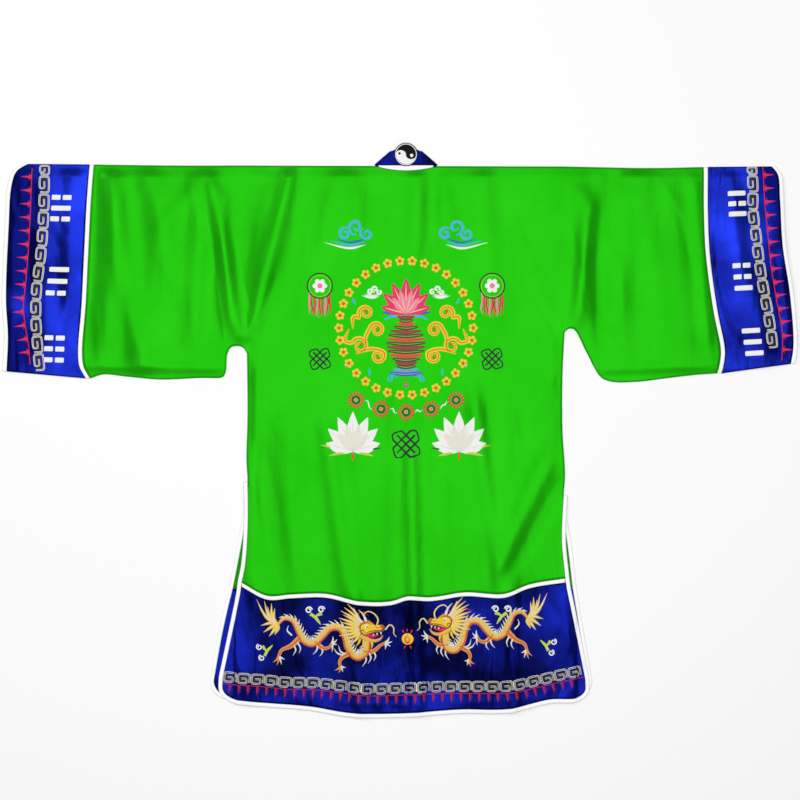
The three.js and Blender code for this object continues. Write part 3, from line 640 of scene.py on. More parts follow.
steps60 = np.linspace(0, 1, 60)
leftSlit = lines["left"]["side"](steps60)
rightSlit = lines["right"]["side"](steps60)
edgePath = np.vstack([
    leftSlit[leftSlit[:, 1] < cut["slitTop"]["left"]],
    lines["left"]["hemSide"](steps60[4::3])[:-1],
    hemBottom(np.linspace(0, 1, 220)),
    lines["right"]["hemSide"](steps60[4::3])[-2::-1],
    rightSlit[rightSlit[:, 1] < cut["slitTop"]["right"]][::-1],
])
edgeTape = makePiece("back_edge_tape", whiteSatin, "back_edge_piping", tape["thickness"],
                     tapeGrid(*offsetPair(edgePath, -1), "edge", topAt))
print("back laid")

# The fronts lie flat under the back, each with its sleeve front, hem band and white tapes.
front = {
    "top": 1.3, "thickness": 1.15, "tapeTop": 1.05, "tapeThickness": 0.5, "slitTop": -165.0,
    "neckPointY": 526.0, "straightY": 330.0, "sleeveDrop": 420.0,
    # columns and rows of each grid
    "sleeve": (30, 40), "upper": (24, 40), "lower": (24, 50), "hem": (40, 24),
}


def leanAt(y):
    return np.clip((y - front["straightY"]) / (front["neckPointY"] - front["straightY"]), 0, 1)


def openingAt(hand, y):
    outward = outlines[hand]["outward"]
    below = cut["middleX"] + outward * (cut["collarWidth"] + pipingStep + 1)
    above = neck[hand] + outward * pipingStep
    y = np.atleast_1d(np.array(y, float))
    return np.column_stack([below + (above - below) * leanAt(y), y])


def partTo(line, y, fromThere=False):  # from its end to the height y, or from y on
    u = np.linspace(0, 1, 500)
    at = np.interp(-y, -line(u)[:, 1], u)
    if fromThere:
        return lambda v: line(at + np.atleast_1d(v) * (1 - at))
    return lambda v: line(np.atleast_1d(v) * at)


def level(height):
    return lambda x, y: np.full_like(x, height)


def flatPlace(patch, height=front["top"]):
    return lambda s, t: withHeight(patch(s, t), np.full_like(s, height))


def makeFront(hand):
    outward = outlines[hand]["outward"]
    isLeft = hand == "left"

    def order(outer, inner):
        return (outer, inner) if isLeft else (inner, outer)

    def opening(fromY, toY):
        return lambda t: openingAt(hand, fromY + (toY - fromY) * np.atleast_1d(t))

    def across(outer, y):
        return straight(*order(np.array(outer), openingAt(hand, y)[0]))

    def tapeOf(place, points, sign, run):
        grid = tapeGrid(*offsetPair(points, sign), run, level(front["tapeTop"]))
        return makePiece(f"front_{place}_{hand}_tape", whiteSatin, f"front_{place}_piping_{hand}",
                         front["tapeThickness"], grid)

    insetTop = cut["frontInset"] / front["sleeveDrop"]
    seamTop, bandTop = cut["frontSeamY"] + cut["seamGap"] / 2, cut["frontSeamY"] - cut["seamGap"] / 2
    panelSide = partTo(lines[hand]["frontSide"], seamTop)
    armTop = sleeves[hand](np.array([1.0 if isLeft else 0.0]), np.array([insetTop]))[0]
    armFoot = panelSide(0)[0]
    arm = straight(armTop, armFoot)
    middle = across(armFoot, armFoot[1])
    upper = patchOf(across(armTop, armTop[1]), middle, *order(arm, opening(armTop[1], armFoot[1])))
    lower = patchOf(middle, across(panelSide(1)[0], seamTop), *order(panelSide, opening(armFoot[1], seamTop)))

    def sleeve(s, t):
        inner = insetTop + t * (1 - 2 * insetTop)
        share = s if isLeft else 1 - s
        armS = np.full_like(s, 1.0 if isLeft else 0.0)
        return sleeves[hand](s, inner) + (arm(t) - sleeves[hand](armS, inner)) * share[:, None]

    panel = makePiece(
        f"front_{hand}_satin", greenSatin, f"front_{hand}", front["thickness"],
        (*front["sleeve"], flatPlace(sleeve), None, tightEnds),
        (*front["upper"], flatPlace(upper), None, tightEnds),
        (*front["lower"], flatPlace(lower)))

    bandLine = partTo(lines[hand]["frontHemSide"], bandTop, True)
    corner, foot = lines[hand]["frontHemSide"](1)[0], openingAt(hand, cut["frontBottomY"])[0]
    radius = corner[1] - cut["frontBottomY"]

    def footAt(u):
        x = corner[0] + (foot[0] - corner[0]) * np.atleast_1d(u) ** 2
        turn = np.clip(1 - np.abs(x - corner[0]) / radius, 0, 1)
        return np.column_stack([x, corner[1] - radius * np.sqrt(1 - turn ** 2)])

    def footLine(u):
        return footAt(u if isLeft else 1 - np.atleast_1d(u))

    def topSquared(u):
        return top(np.atleast_1d(u) ** 2 if isLeft else 1 - (1 - np.atleast_1d(u)) ** 2)

    top = across(bandLine(0)[0], bandTop)
    band = patchOf(topSquared, footLine, *order(bandLine, opening(bandTop, cut["frontBottomY"])))
    hem = makePiece(f"front_hem_{hand}_satin", hemSatin, f"front_hem_band_{hand}", front["thickness"],
                    (*front["hem"], flatPlace(band)))

    slit = lower(np.full(60, 0.0 if isLeft else 1.0), steps60)
    edge = np.vstack([
        slit[slit[:, 1] < front["slitTop"]], bandLine(steps60[3::3])[:-1], footAt(np.linspace(0, 1, 90)),
        [(cut["middleX"] + outward, cut["frontBottomY"])],
    ])
    openEdge = openingAt(hand, [front["neckPointY"], 485, 440, 390, front["straightY"], cut["frontBottomY"]])
    tapes = [tapeOf("edge", edge, outward, "frontEdge"), tapeOf("opening", openEdge, -outward, "opening")]
    return {"panel": panel, "hem": hem, "tapes": tapes}


fronts = {hand: makeFront(hand) for hand in hands}
print("fronts laid")

# Cuffs and their tapes are flattened tubes round the sleeve ends.
cuff = {"columns": 34, "rows": 192, "thickness": 1.1, "bulge": 0.5, "edgeRadius": 3.0}


def tubePlace(hand, spanAt, rise):
    rows, outward = lines[hand], outlines[hand]["outward"]

    def place(s, t):
        under = t > 0.5
        down = tightEnds(np.where(under, 2 - 2 * t, 2 * t))
        share = s if outward > 0 else 1 - s
        seamAt, mouthAt = rows["cuffSeam"](down), rows["cuffMouth"](down)
        wide, shift = spanAt(share)
        plan = seamAt + (mouthAt - seamAt) * wide[:, None] + np.column_stack([outward * shift, 0 * shift])
        drop = rows["cuffSeam"](0)[0, 1] - rows["cuffSeam"](1)[0, 1]
        rounding = roundOver(np.minimum(down, 1 - down) * drop, cuff["edgeRadius"])
        above = topAt(plan[:, 0], plan[:, 1]) - cut["foldZ"]
        top = cut["foldZ"] + above * rounding + rise(share) * rounding
        low = cut["foldZ"] * (1 - rounding)
        return withHeight(plan, np.where(under, low, top))
    return place


def tapeSpan(wide, start):
    return lambda share: (np.full_like(share, wide), start + cut["pipingWidth"] * share)


def makeCuff(hand):
    fromSeam, fromMouth = pipingStep / 2, -cut["pipingWidth"] - cut["seamGap"]

    def clothSpan(share):
        return share, fromSeam + (fromMouth - fromSeam) * share

    def crown(share):
        return cuff["bulge"] * (1 - (2 * share - 1) ** 2)

    cloth = makePiece(f"cuff_{hand}_satin", blueSatin, f"cuff_{hand}", cuff["thickness"],
                      (cuff["columns"], cuff["rows"], tubePlace(hand, clothSpan, lambda share: 0 * share)))
    tapes = [
        makePiece(f"cuff_{name}_{hand}_tape", whiteSatin, f"cuff_{name}_piping_{hand}", cuff["thickness"],
                  (tape["rows"], cuff["rows"], tubePlace(hand, span, crown)))
        for name, span in (("seam", tapeSpan(0.0, -halfTape)), ("mouth", tapeSpan(1.0, -cut["pipingWidth"])))
    ]
    return {"cloth": cloth, "tapes": tapes}


cuffs = {hand: makeCuff(hand) for hand in hands}
print("cuffs laid")

# The collar runs up the left front, over the fold, round the nape and down the right front.
collar = {
    "tipHalf": 30.0, "tipY": 558.0, "middleY": 570.0, "across": 12.0, "along": 44.0,
    "bandZ": 0.75, "backZ": 2.75, "half": 0.6, "swell": 0.15, "columnsPerLeg": 3, "rows": 10,
}


def collarStations():
    baseY = neck["y"] + cut["seamGap"]
    radius = (collar["backZ"] - collar["bandZ"]) / 2
    rows = {}
    for hand in hands:
        outward = outlines[hand]["outward"]
        corner = np.array([neck[hand], baseY])
        tip = np.array([cut["middleX"] + outward * collar["tipHalf"], collar["tipY"]])
        rise = (tip - corner) / np.linalg.norm(tip - corner)
        out = np.array([outward * rise[1], abs(rise[0])])
        found = []
        for y in (cut["frontBottomY"], front["straightY"], 390.0, 440.0, 485.0):
            outer = openingAt(hand, y)[0] - [outward * pipingStep, 0]
            lean = leanAt(y)
            inner = outer + [-outward * (cut["collarWidth"] - lean * collar["across"]), lean * collar["along"]]
            found.append((*outer, *inner, collar["bandZ"], 0, 0, -1))
        for turn in np.linspace(-0.5, 0.5, 9):
            cos, sin = math.cos(math.pi * turn), math.sin(math.pi * turn)
            z = collar["bandZ"] + radius * (1 + sin)
            found.append((*(corner + out * cos * radius), *(tip + out * cos * radius), z, *(out * cos), sin))
        rows[hand] = found
    nape = (cut["middleX"], baseY, cut["middleX"], collar["middleY"], collar["backZ"], 0, 0, 1)
    return polyline([*rows["left"], nape, *rows["right"][::-1]]), 2 * len(rows["left"])


collarAt, collarLegs = collarStations()


def placeCollar(s, t):
    row = collarAt(s)
    plan = row[:, 2:4] + (row[:, 0:2] - row[:, 2:4]) * t[:, None]
    swell = collar["half"] + collar["swell"] * (1 - (2 * t - 1) ** 4)
    return withHeight(plan, row[:, 4]) + row[:, 5:8] * swell[:, None]


collarPiece = makePiece("collar_satin", hemSatin, "collar", 2 * collar["half"],
                        (collarLegs * collar["columnsPerLeg"], collar["rows"], placeCollar))


def crescent(share):
    def line(u):
        u = np.atleast_1d(u)
        span = (neck["right"] - neck["left"]) / back["width"]
        start = (neck["left"] - held["sides"][0]) / back["width"]
        low = topEdge(start + span * (0.06 + 0.88 * u))
        low[:, 1] += 2 * cut["seamGap"]
        return low + np.column_stack([0 * u, (neck["y"] - low[:, 1]) * share])
    return line


neckTape = makePiece("neck_tape", whiteSatin, "neck_piping", tape["thickness"],
                     tapeGrid(crescent(1.0), crescent(0.0), "neck", topAt))
print("collar laid")

# Embroidery: threads laid as crowned ribbons and pads that follow the cloth
embroidery = {"sink": 0.2, "step": 3.0, "cross": 3, "height": 0.65}
threads = {
    "cream": (0.80, 0.78, 0.66), "gold": (0.74, 0.46, 0.07), "paleGold": (0.86, 0.70, 0.22),
    "orange": (0.62, 0.12, 0.015), "ruby": (0.42, 0.002, 0.04), "crimson": (0.70, 0.004, 0.07),
    "white": (0.90, 0.90, 0.88), "black": (0.01, 0.01, 0.014), "cyan": (0.05, 0.48, 0.62),
    "blue": (0.02, 0.12, 0.55), "lime": (0.50, 0.66, 0.05), "magenta": (0.78, 0.02, 0.14),
    "pink": (0.90, 0.22, 0.36), "yellow": (0.84, 0.58, 0.02), "peach": (0.74, 0.29, 0.07),
    "pine": (0.02, 0.09, 0.03), "brown": (0.22, 0.07, 0.02), "night": (0.010, 0.007, 0.018),
}
inkOf = {name: number for number, name in enumerate(threads)}
gilt = {"gold": 0.1, "paleGold": 0.1, "yellow": 0.1}  # how metallic a thread is


def threadMaterial(name, colour):
    material, tree, shader = shaded(
        "Thread_" + name, Metallic=gilt.get(name, 0.0), Roughness=0.42, SpecularIORLevel=0.25)
    uv = addNode(tree, "UVMap").outputs["UV"]
    stitch = addNode(tree, "TexWave", bands_direction="X", Scale=330.0, Distortion=1.5, Detail=1.0)
    fuzz = addNode(tree, "TexNoise", Scale=900.0, Detail=2.0)
    dark, light = (*(0.72 * c for c in colour), 1), (*(min(1.08 * c, 1) for c in colour), 1)
    tone = addNode(tree, "Mix", {"A": dark, "B": light}, data_type="RGBA")
    bump = addNode(tree, "Bump", Strength=0.5, Distance=0.2 * mm)
    wire(tree,
         (uv, stitch.inputs["Vector"]),
         (uv, fuzz.inputs["Vector"]),
         (fuzz.outputs["Fac"], tone.inputs["Factor"]),
         (tone.outputs["Result"], shader["Base Color"]),
         (stitch.outputs["Fac"], bump.inputs["Height"]),
         (bump.outputs["Normal"], shader["Normal"]))
    return material


threadMaterials = [threadMaterial(*thread) for thread in threads.items()]


def around(at, angle, reach):
    return at[0] + reach * math.cos(angle), at[1] + reach * math.sin(angle)


def swayed(root, tip, dx, dy):  # from root to tip by way of a shifted middle
    return [root, ((root[0] + tip[0]) / 2 + dx, (root[1] + tip[1]) / 2 + dy), tip]


def inWorld(rows, at=(0, 0), angle=0.0, scale=1.0, mirror=1):
    rows = np.array(rows, float) * [mirror * scale, scale]
    cos, sin = math.cos(angle), math.sin(angle)
    return rows @ np.array([[cos, sin], [-sin, cos]]) + at


def ribbon(bm, rows, widths, ink, height=embroidery["height"], lift=0.0, step=embroidery["step"]):
    line = curveThrough(rows)
    columns = max(3, int(line.length / step))
    halves = np.array(widths, float) if np.ndim(widths) else np.array([widths, widths], float)

    def place(s, t):
        ahead = line(s + 0.01) - line(s - 0.01)
        ahead /= np.linalg.norm(ahead, axis=1)[:, None] + 1e-9
        halfAt = np.interp(s, np.linspace(0, 1, len(halves)), halves)
        across = 1 - 2 * t
        plan = line(s) + np.column_stack([-ahead[:, 1], ahead[:, 0]]) * (halfAt * across)[:, None]
        crown = height * np.sqrt(np.clip(1 - across ** 2, 0, 1)) * np.clip(halfAt / 0.8, 0.2, 1)
        return withHeight(plan, topAt(plan[:, 0], plan[:, 1]) + lift + crown - embroidery["sink"])

    size = (line.length, 2 * float(halves.max()))
    layGrid(bm, columns, embroidery["cross"], place, ink=inkOf[ink], uvSize=size)


def pad(bm, outline, centre, ink, height=embroidery["height"], lift=0.0, rings=5, points=36):
    # outline runs clockwise, by angle or length from 0 to 1, and sees its whole inside from the centre
    def place(s, t):
        plan = outline(s) + (np.array(centre) - outline(s)) * t[:, None]
        crown = height * np.sqrt(np.clip(1 - (1 - t) ** 4, 0, 1))
        return withHeight(plan, topAt(plan[:, 0], plan[:, 1]) + lift + crown - embroidery["sink"])
    layGrid(bm, points, rings, place, ink=inkOf[ink], uvSize=(40.0, 12.0))


def disc(bm, centre, radius, ink, lobes=0, depth=0.2, turn=0.0, **look):
    def outline(s):
        angle = -2 * np.pi * s
        petals = 1 - depth + depth * np.abs(np.cos(lobes * (angle - turn) / 2)) if lobes else 1 + 0 * s
        return np.array(centre) + polar(radius * petals, angle)
    pad(bm, outline, centre, ink, points=look.pop("points", 10 * lobes if lobes else 24), rings=3, **look)


def shape(bm, corners, ink, soft=True, **look):  # a filled outline through corners that run clockwise
    rows = np.array([*corners, corners[0]], float)
    line = curveThrough(rows) if soft else polyline(rows)
    pad(bm, line, np.mean(rows[:-1], axis=0), ink, **look)


def petal(bm, base, angle, length, width, ink, **look):
    tip = np.array(base) + length * np.array([math.cos(angle), math.sin(angle)])
    middle = (np.array(base) + tip) / 2
    ribbon(bm, [base, middle, tip], width * np.array([0.15, 0.62, 0.95, 1.0, 0.85, 0.5, 0.05]), ink, **look)


def finishEmbroidery(name, bm):
    used = sorted({face.material_index for face in bm.faces})
    for face in bm.faces:
        face.material_index = used.index(face.material_index)
    return finishPiece(name, bm, [threadMaterials[k] for k in used], weld=False)


def sewn(name, lay, *args, **values):
    bm = bmesh.new()
    lay(bm, *args, **values)
    return finishEmbroidery(name, bm)


def stations(line, pitch, start, end):
    u = np.linspace(0, 1, 400)
    points = line(u)
    run = np.concatenate([[0], np.cumsum(np.linalg.norm(np.diff(points, axis=0), axis=1))])
    count = int((run[-1] - start - end) / pitch)
    at = np.interp(start + pitch * (0.5 + np.arange(count)), run, u)
    ahead = line(at + 0.004) - line(at - 0.004)
    return zip(line(at), np.arctan2(ahead[:, 1], ahead[:, 0]))


# Fret bands, flame edging and broken and whole bars
fret = {
    "half": 2.5, "core": 0.6, "hemCore": 0.95, "lift": 0.42, "gap": 0.4, "corner": 0.14,
    "width": 22.0, "step": 1.6, "hemPitch": 27.7,
}
fretTurns = [(1, -0.9), (1, 1), (-1, 1), (-1, -1), (0.45, -1), (0.45, 0), (-0.45, 0)]
flames = {  # where each stroke starts, its lean, its reach, and its half widths
    "wedge": [(0.0, 0.0, 1.0, [5.6, 3.6, 1.7, 0.3]), (0.0, 7.5, 0.26, [1.8, 1.3, 0.3]),
              (0.0, -7.5, 0.26, [1.8, 1.3, 0.3])],
    "barbed": [(0.0, 1.2, 1.0, [2.0, 2.2, 1.6, 0.3]), (0.02, 6.0, 0.42, [1.3, 1.4, 0.3]),
               (0.36, 5.0, 0.36, [1.2, 1.2, 0.3])],
}


def fretRows(length, width):
    rows = [fretTurns[0]]
    for before, corner, after in zip(fretTurns, fretTurns[1:], fretTurns[2:]):
        for other in (before, after):
            away = np.subtract(other, corner)
            rows.append(tuple(corner + away / np.linalg.norm(away * [length, width]) * fret["corner"] * width))
    return np.array([*rows, fretTurns[-1]]) * [length / 2, width / 2]


def layFret(bm, line, pitch, start, core=fret["core"]):
    units = [(at, angle, pitch) for at, angle in stations(line, pitch, start, 0)]
    if start > pitch / 3:  # a short unit that goes on over the fold
        units += [(at, angle, start) for at, angle in list(stations(line, start, 0, 0))[:1]]
    for at, angle, room in units:
        long, wide = room - 2 * fret["half"] - fret["gap"], fret["width"] - 2 * fret["half"]
        ground = inWorld([(-long / 2, 0), (long / 2, 0)], at, angle)
        ribbon(bm, ground, wide / 2, "night", height=0.15, lift=0.1)
        rows = inWorld(fretRows(long, wide), at, angle)
        ribbon(bm, rows, fret["half"], "cream", height=0.5, step=fret["step"])
        ribbon(bm, rows, core, "night", height=0.3, lift=fret["lift"], step=fret["step"])


def layFlames(bm, line, pitch, length, start, end, side, kind="wedge", ink="crimson"):
    ribbon(bm, line(np.linspace(0, 1, 30)), 1.2, ink, height=0.5)
    for at, angle in stations(line, pitch, start, end):
        for rootY, lean, reach, halves in flames[kind]:
            top, deep = side * length * rootY, side * length * reach
            rows = [(0, top), (0.6 * lean, top + deep / 2), (lean, top + deep)]
            ribbon(bm, inWorld(rows, at, angle), halves, ink, height=0.5)


def layBar(bm, centre, angle, length, width):
    def place(s, t):
        local = np.column_stack([(s - 0.5) * length, (0.5 - t) * width])
        plan = inWorld(local, centre, angle)
        crown = 0.8 * (1 - np.abs(2 * s - 1) ** 10) * (1 - np.abs(2 * t - 1) ** 4)
        return withHeight(plan, topAt(plan[:, 0], plan[:, 1]) + crown - embroidery["sink"])
    layGrid(bm, max(4, int(length / 3)), 5, place, tightEnds, ink=inkOf["white"], uvSize=(length, width))


bars = {"left": 41.0, "right": 37.0, "height": 11.0, "split": 3.6}
cuffWork = {
    "left": {
        "pitch": 35.6, "foldUnit": 22.0,
        "fret": [(-710, 531), (-711.5, 441), (-714.5, 381), (-719, 336), (-724, 300), (-727, 261),
                 (-727, 216), (-724, 171), (-719, 116)],
        "flames": [(-735, 524), (-737, 471), (-739, 417), (-743, 351), (-748, 291), (-752, 246),
                   (-748, 205), (-742, 171), (-739, 132)],
        "bars": [("010", -677, 444, 54, 3), ("110", -683.5, 298, 58, 7), ("000", -690.5, 163, 55, 2)],
        "tilt": -0.03,
    },
    "right": {
        "pitch": 34.9, "foldUnit": 18.0,
        "fret": [(703, 528), (705, 480), (705, 440), (711, 390), (717, 340), (723, 300), (732, 250),
                 (739, 210), (744, 165), (742, 130)],
        "flames": [(725, 528), (727, 480), (730, 440), (735, 390), (741, 330), (748, 285), (756, 240),
                   (763, 200), (764, 165), (762, 140)],
        "bars": [("101", 673, 453, 52, -2), ("001", 683.5, 307, 56, -4), ("111", 704, 177, 56, -7)],
        "tilt": 0.05,
    },
}


def layBars(bm, work, length):
    for rows, x, y, tall, drift in work["bars"]:
        for number, whole in enumerate(rows):
            shift = (1 - number) * (tall - bars["height"]) / 2
            at = np.array([x + drift * (1 - number) / 2, y + shift])
            if whole == "1":
                layBar(bm, at, work["tilt"], length, bars["height"])
                continue
            piece = (length - bars["split"]) / 2
            for sign in (-1, 1):
                off = sign * (piece + bars["split"]) / 2
                layBar(bm, at + [off, off * work["tilt"]], work["tilt"], piece, bars["height"])


def decorateCuff(hand):
    work = cuffWork[hand]
    return [
        sewn(f"cuff_fret_{hand}", layFret, curveThrough(work["fret"]), work["pitch"], work["foldUnit"]),
        sewn(f"cuff_flames_{hand}", layFlames, curveThrough(work["flames"]), pitch=27.0, length=22.0,
             start=4, end=0, side=outlines[hand]["outward"]),
        sewn(f"cuff_bars_{hand}", layBars, work, bars[hand]),
    ]


cuffSewn = {hand: decorateCuff(hand) for hand in hands}
hemFretRows = np.array([
    (-353, -491), (-336, -493.5), (-280, -497), (-225, -503), (-171, -504), (-118, -510), (-65, -516),
    (-11, -515), (60, -512), (130, -511), (220, -510), (280, -498), (330, -486), (366, -479),
])
hemFret = sewn("hem_fret", layFret, curveThrough(hemFretRows), fret["hemPitch"], 0, fret["hemCore"])
hemFlames = sewn("hem_flames", layFlames, curveThrough(hemFretRows + [0, -14]), pitch=18.5, length=18.0,
                 start=3, end=3, side=-1, kind="barbed", ink="ruby")
print("bands sewn")

# The round patch on the nape: two interlocking halves in black and white
nape = {
    "centre": (12.0, 551.5), "radius": 23.5, "rim": 19.8, "base": 3.52, "top": 4.9, "dot": 3.2, "flat": 0.8,
    "turn": -0.12, "roll": 0.25, "columns": 48, "sunk": 0.1, "ringOut": 1.9, "ringWidth": 1.8,
}
felt = shaded("PatchFelt", BaseColor=(0.004, 0.004, 0.005, 1), Roughness=0.75, SpecularIORLevel=0.12)[0]


def napeDisc(bm, centre, radius, low, top, ink=0):
    def place(s, t):
        angle = -2 * np.pi * s
        inward = np.clip((t - nape["roll"]) / (1 - nape["roll"]), 0, 1)
        r = radius * (1 - inward) - 0.35 * smooth(t / nape["roll"]) * (inward < 1e-6)
        z = low + (top - low) * smooth(t / nape["roll"])
        return withHeight(np.array(centre) + polar(r, angle), z)
    layGrid(bm, nape["columns"], 8, place, ink=ink)


def onNape(local, z):
    return withHeight(inWorld(local, nape["centre"], nape["turn"]), z)


def whiteHalf(s, t):
    arc = polar(nape["rim"], np.pi * (1 + s))
    small = nape["rim"] / 2
    first = s < 0.5
    turn = np.where(first, np.pi * (1 - 2 * s), np.pi * (1 + (2 * s - 1)))
    waveX = np.where(first, -small, small) + small * np.cos(turn)
    wave = np.column_stack([waveX, nape["flat"] * small * np.sin(turn)])
    edge = 1 - np.abs(2 * t - 1) ** 8
    return onNape(wave + (arc - wave) * t[:, None], nape["top"] - nape["sunk"] + 0.45 * edge)


def napeRing(s, t):
    ring = polar(nape["rim"] + nape["ringOut"] - nape["ringWidth"] * t, -2 * np.pi * s)
    return onNape(ring, nape["top"] - nape["sunk"] + 0.5 * (1 - (2 * t - 1) ** 2))


bm = bmesh.new()
napeDisc(bm, nape["centre"], nape["radius"], nape["base"], nape["top"])
layGrid(bm, nape["columns"], 10, whiteHalf, ink=1)
layGrid(bm, 72, 4, napeRing, ink=1)
dots = inWorld([(-13, 0.5), (11.5, -0.5)], nape["centre"], nape["turn"])
napeDisc(bm, dots[0], nape["dot"] * 0.85, nape["top"], nape["top"] + 0.6)
napeDisc(bm, dots[1], nape["dot"] * 1.1, nape["top"] - 0.2, nape["top"] + 0.4, ink=1)
patchPiece = finishPiece("neck_roundel", bm, [felt, threadMaterials[inkOf["white"]]], ["neck_patch"])
print("patch sewn")

# Hem ornament: two dragons after the common pattern, a pearl and curled clouds, drawn afresh
dragonAxis = 13.0  # the drawing's mirror line
dragonPlaces = {  # side, the place that stays as drawn, the squeeze along, and the lift
    "left": {"mirror": 1, "anchor": -250.0, "drawnIn": 0.95, "lift": 3.0},
    "right": {"mirror": -1, "anchor": -116.0, "drawnIn": 0.885, "lift": 16.0},
}
bodyPath = [
    (-246, -393), (-230, -378), (-212, -382), (-200, -402), (-188, -422), (-170, -428), (-152, -414),
    (-134, -397), (-113, -397), (-101, -415), (-95, -437), (-79, -454), (-62, -449), (-56, -430), (-58, -412),
]
bodyHalves = [2.5, 5, 6.5, 7.5, 8, 8.3, 8.3, 8.3, 8.3, 8.3, 8.5, 8.5, 8.5, 8, 7]
plumes = [
    (-288, -340), (-281, -352), (-272, -343), (-265, -354), (-257, -348), (-250, -358),
    (-279, -392), (-274, -406), (-262, -414), (-250, -411),
]
limbs = [
    {"path": [(-196, -416), (-216, -433), (-236, -442), (-242, -454)], "halves": [7.5, 6.4, 4.4, 3.4],
     "claws": [(-254, -466), (-246, -472), (-236, -470), (-229, -460)]},
    {"path": [(-166, -424), (-148, -438), (-136, -436), (-130, -428)], "halves": [7, 5.6, 4, 3.2],
     "claws": [(-128, -414), (-119, -420), (-119, -430), (-130, -445)]},
    {"path": [(-90, -446), (-108, -456), (-114, -466), (-112, -474)], "halves": [7, 6, 4.2, 3.4],
     "claws": [(-124, -482), (-116, -487), (-107, -485), (-101, -476)]},
    {"path": [(-64, -444), (-44, -444), (-28, -432), (-18, -427)], "halves": [7, 5.6, 4, 3.2],
     "claws": [(-9, -415), (-3, -424), (-7, -434), (-18, -440)]},
]
headOutline = [
    (-76, -402), (-74, -391), (-66, -383), (-55, -380), (-46, -385), (-37, -391), (-26, -390),
    (-18, -396), (-22, -404), (-36, -406), (-50, -410), (-66, -413),
]
mane = [
    (-97, -349), (-104, -356), (-111, -363), (-106, -371), (-116, -377), (-110, -386),
    (-119, -394), (-111, -403), (-115, -413), (-104, -420), (-96, -430),
]
beard = [
    ((-70, -418), (-80, -434)), ((-63, -421), (-69, -439)),
    ((-55, -423), (-58, -441)), ((-47, -424), (-47, -439)),
]
horns = [[(-66, -386), (-77, -373), (-84, -356)], [(-58, -384), (-64, -370), (-74, -360)]]
wisps = [
    [(-212, -428), (-206, -442), (-212, -452)], [(-204, -424), (-196, -438), (-199, -448)],
    [(-214, -412), (-224, -402), (-221, -392)], [(-160, -430), (-162, -442), (-170, -450)],
    [(-152, -432), (-150, -446), (-156, -454)], [(-104, -452), (-118, -448), (-126, -438)],
    [(-100, -450), (-112, -444), (-116, -432)], [(-52, -446), (-48, -458), (-54, -468)],
    [(-60, -450), (-58, -462), (-66, -474)], [(-44, -442), (-38, -454), (-42, -463)],
]
whiskers = [
    [(-36, -393), (-33, -380), (-42, -368), (-55, -364), (-63, -371), (-57, -378)],
    [(-18, -401), (-8, -391), (0, -397), (0, -409), (6, -415)],
]
plain = embroidery["height"]
jawPath = [(-70, -411), (-58, -419), (-42, -423), (-28, -419), (-23, -412)]
jawStrokes = [  # points, half widths, thread, height and lift
    (jawPath, [5.4, 5.2, 4.4, 3.6, 1.4], "brown", 0.4, 0.7),
    (jawPath, [4.4, 4.0, 3.2, 2.4, 0.7], "gold", 0.8, 1.0),
    ([(-60, -411), (-46, -414), (-32, -411)], [2.2, 3.2, 1.4], "crimson", plain, 1.2),
    ([(-27, -405), (-26.5, -411)], [1.7, 0.3], "white", 0.5, 1.6),
    ([(-35, -407), (-34.5, -411)], [1.7, 0.3], "white", 0.5, 1.6),
    ([(-43, -409), (-42.5, -413)], [1.7, 0.3], "white", 0.5, 1.6),
]
faceStrokes = [
    ([(-75, -396), (-66, -388), (-55, -386), (-46, -391)], [0.6, 2.0, 2.0, 0.4], "orange", plain, 2.2),
    ([(-72, -404), (-64, -400), (-62, -407)], [0.4, 1.1, 1.0, 0.4], "brown", 0.5, 2.2),
    ([(-60, -408), (-50, -404), (-38, -402), (-24, -401)], [0.4, 1.1, 1.0, 0.4], "brown", 0.5, 2.2),
]
nostril = ([(-40, -394), (-33, -397), (-28, -395)], [0.4, 1.2, 0.4], "crimson", 0.5, 2.2)
faceDiscs = [  # x, y, radius, thread, height and lift
    (-57, -394, 3.6, "white", 0.7, 2.2), (-56, -394.5, 1.7, "black", 0.5, 2.7),
    (-25, -394, 3.6, "orange", 0.8, 2.0),
]
scales = {"rows": 46, "bow": 0.011, "halves": ((-0.36, 0.26, 0.0), (0.22, 0.86, 0.0098))}
roots = {"tail": (-244, -391), "mane": (-68, -398), "face": (-48, -397)}


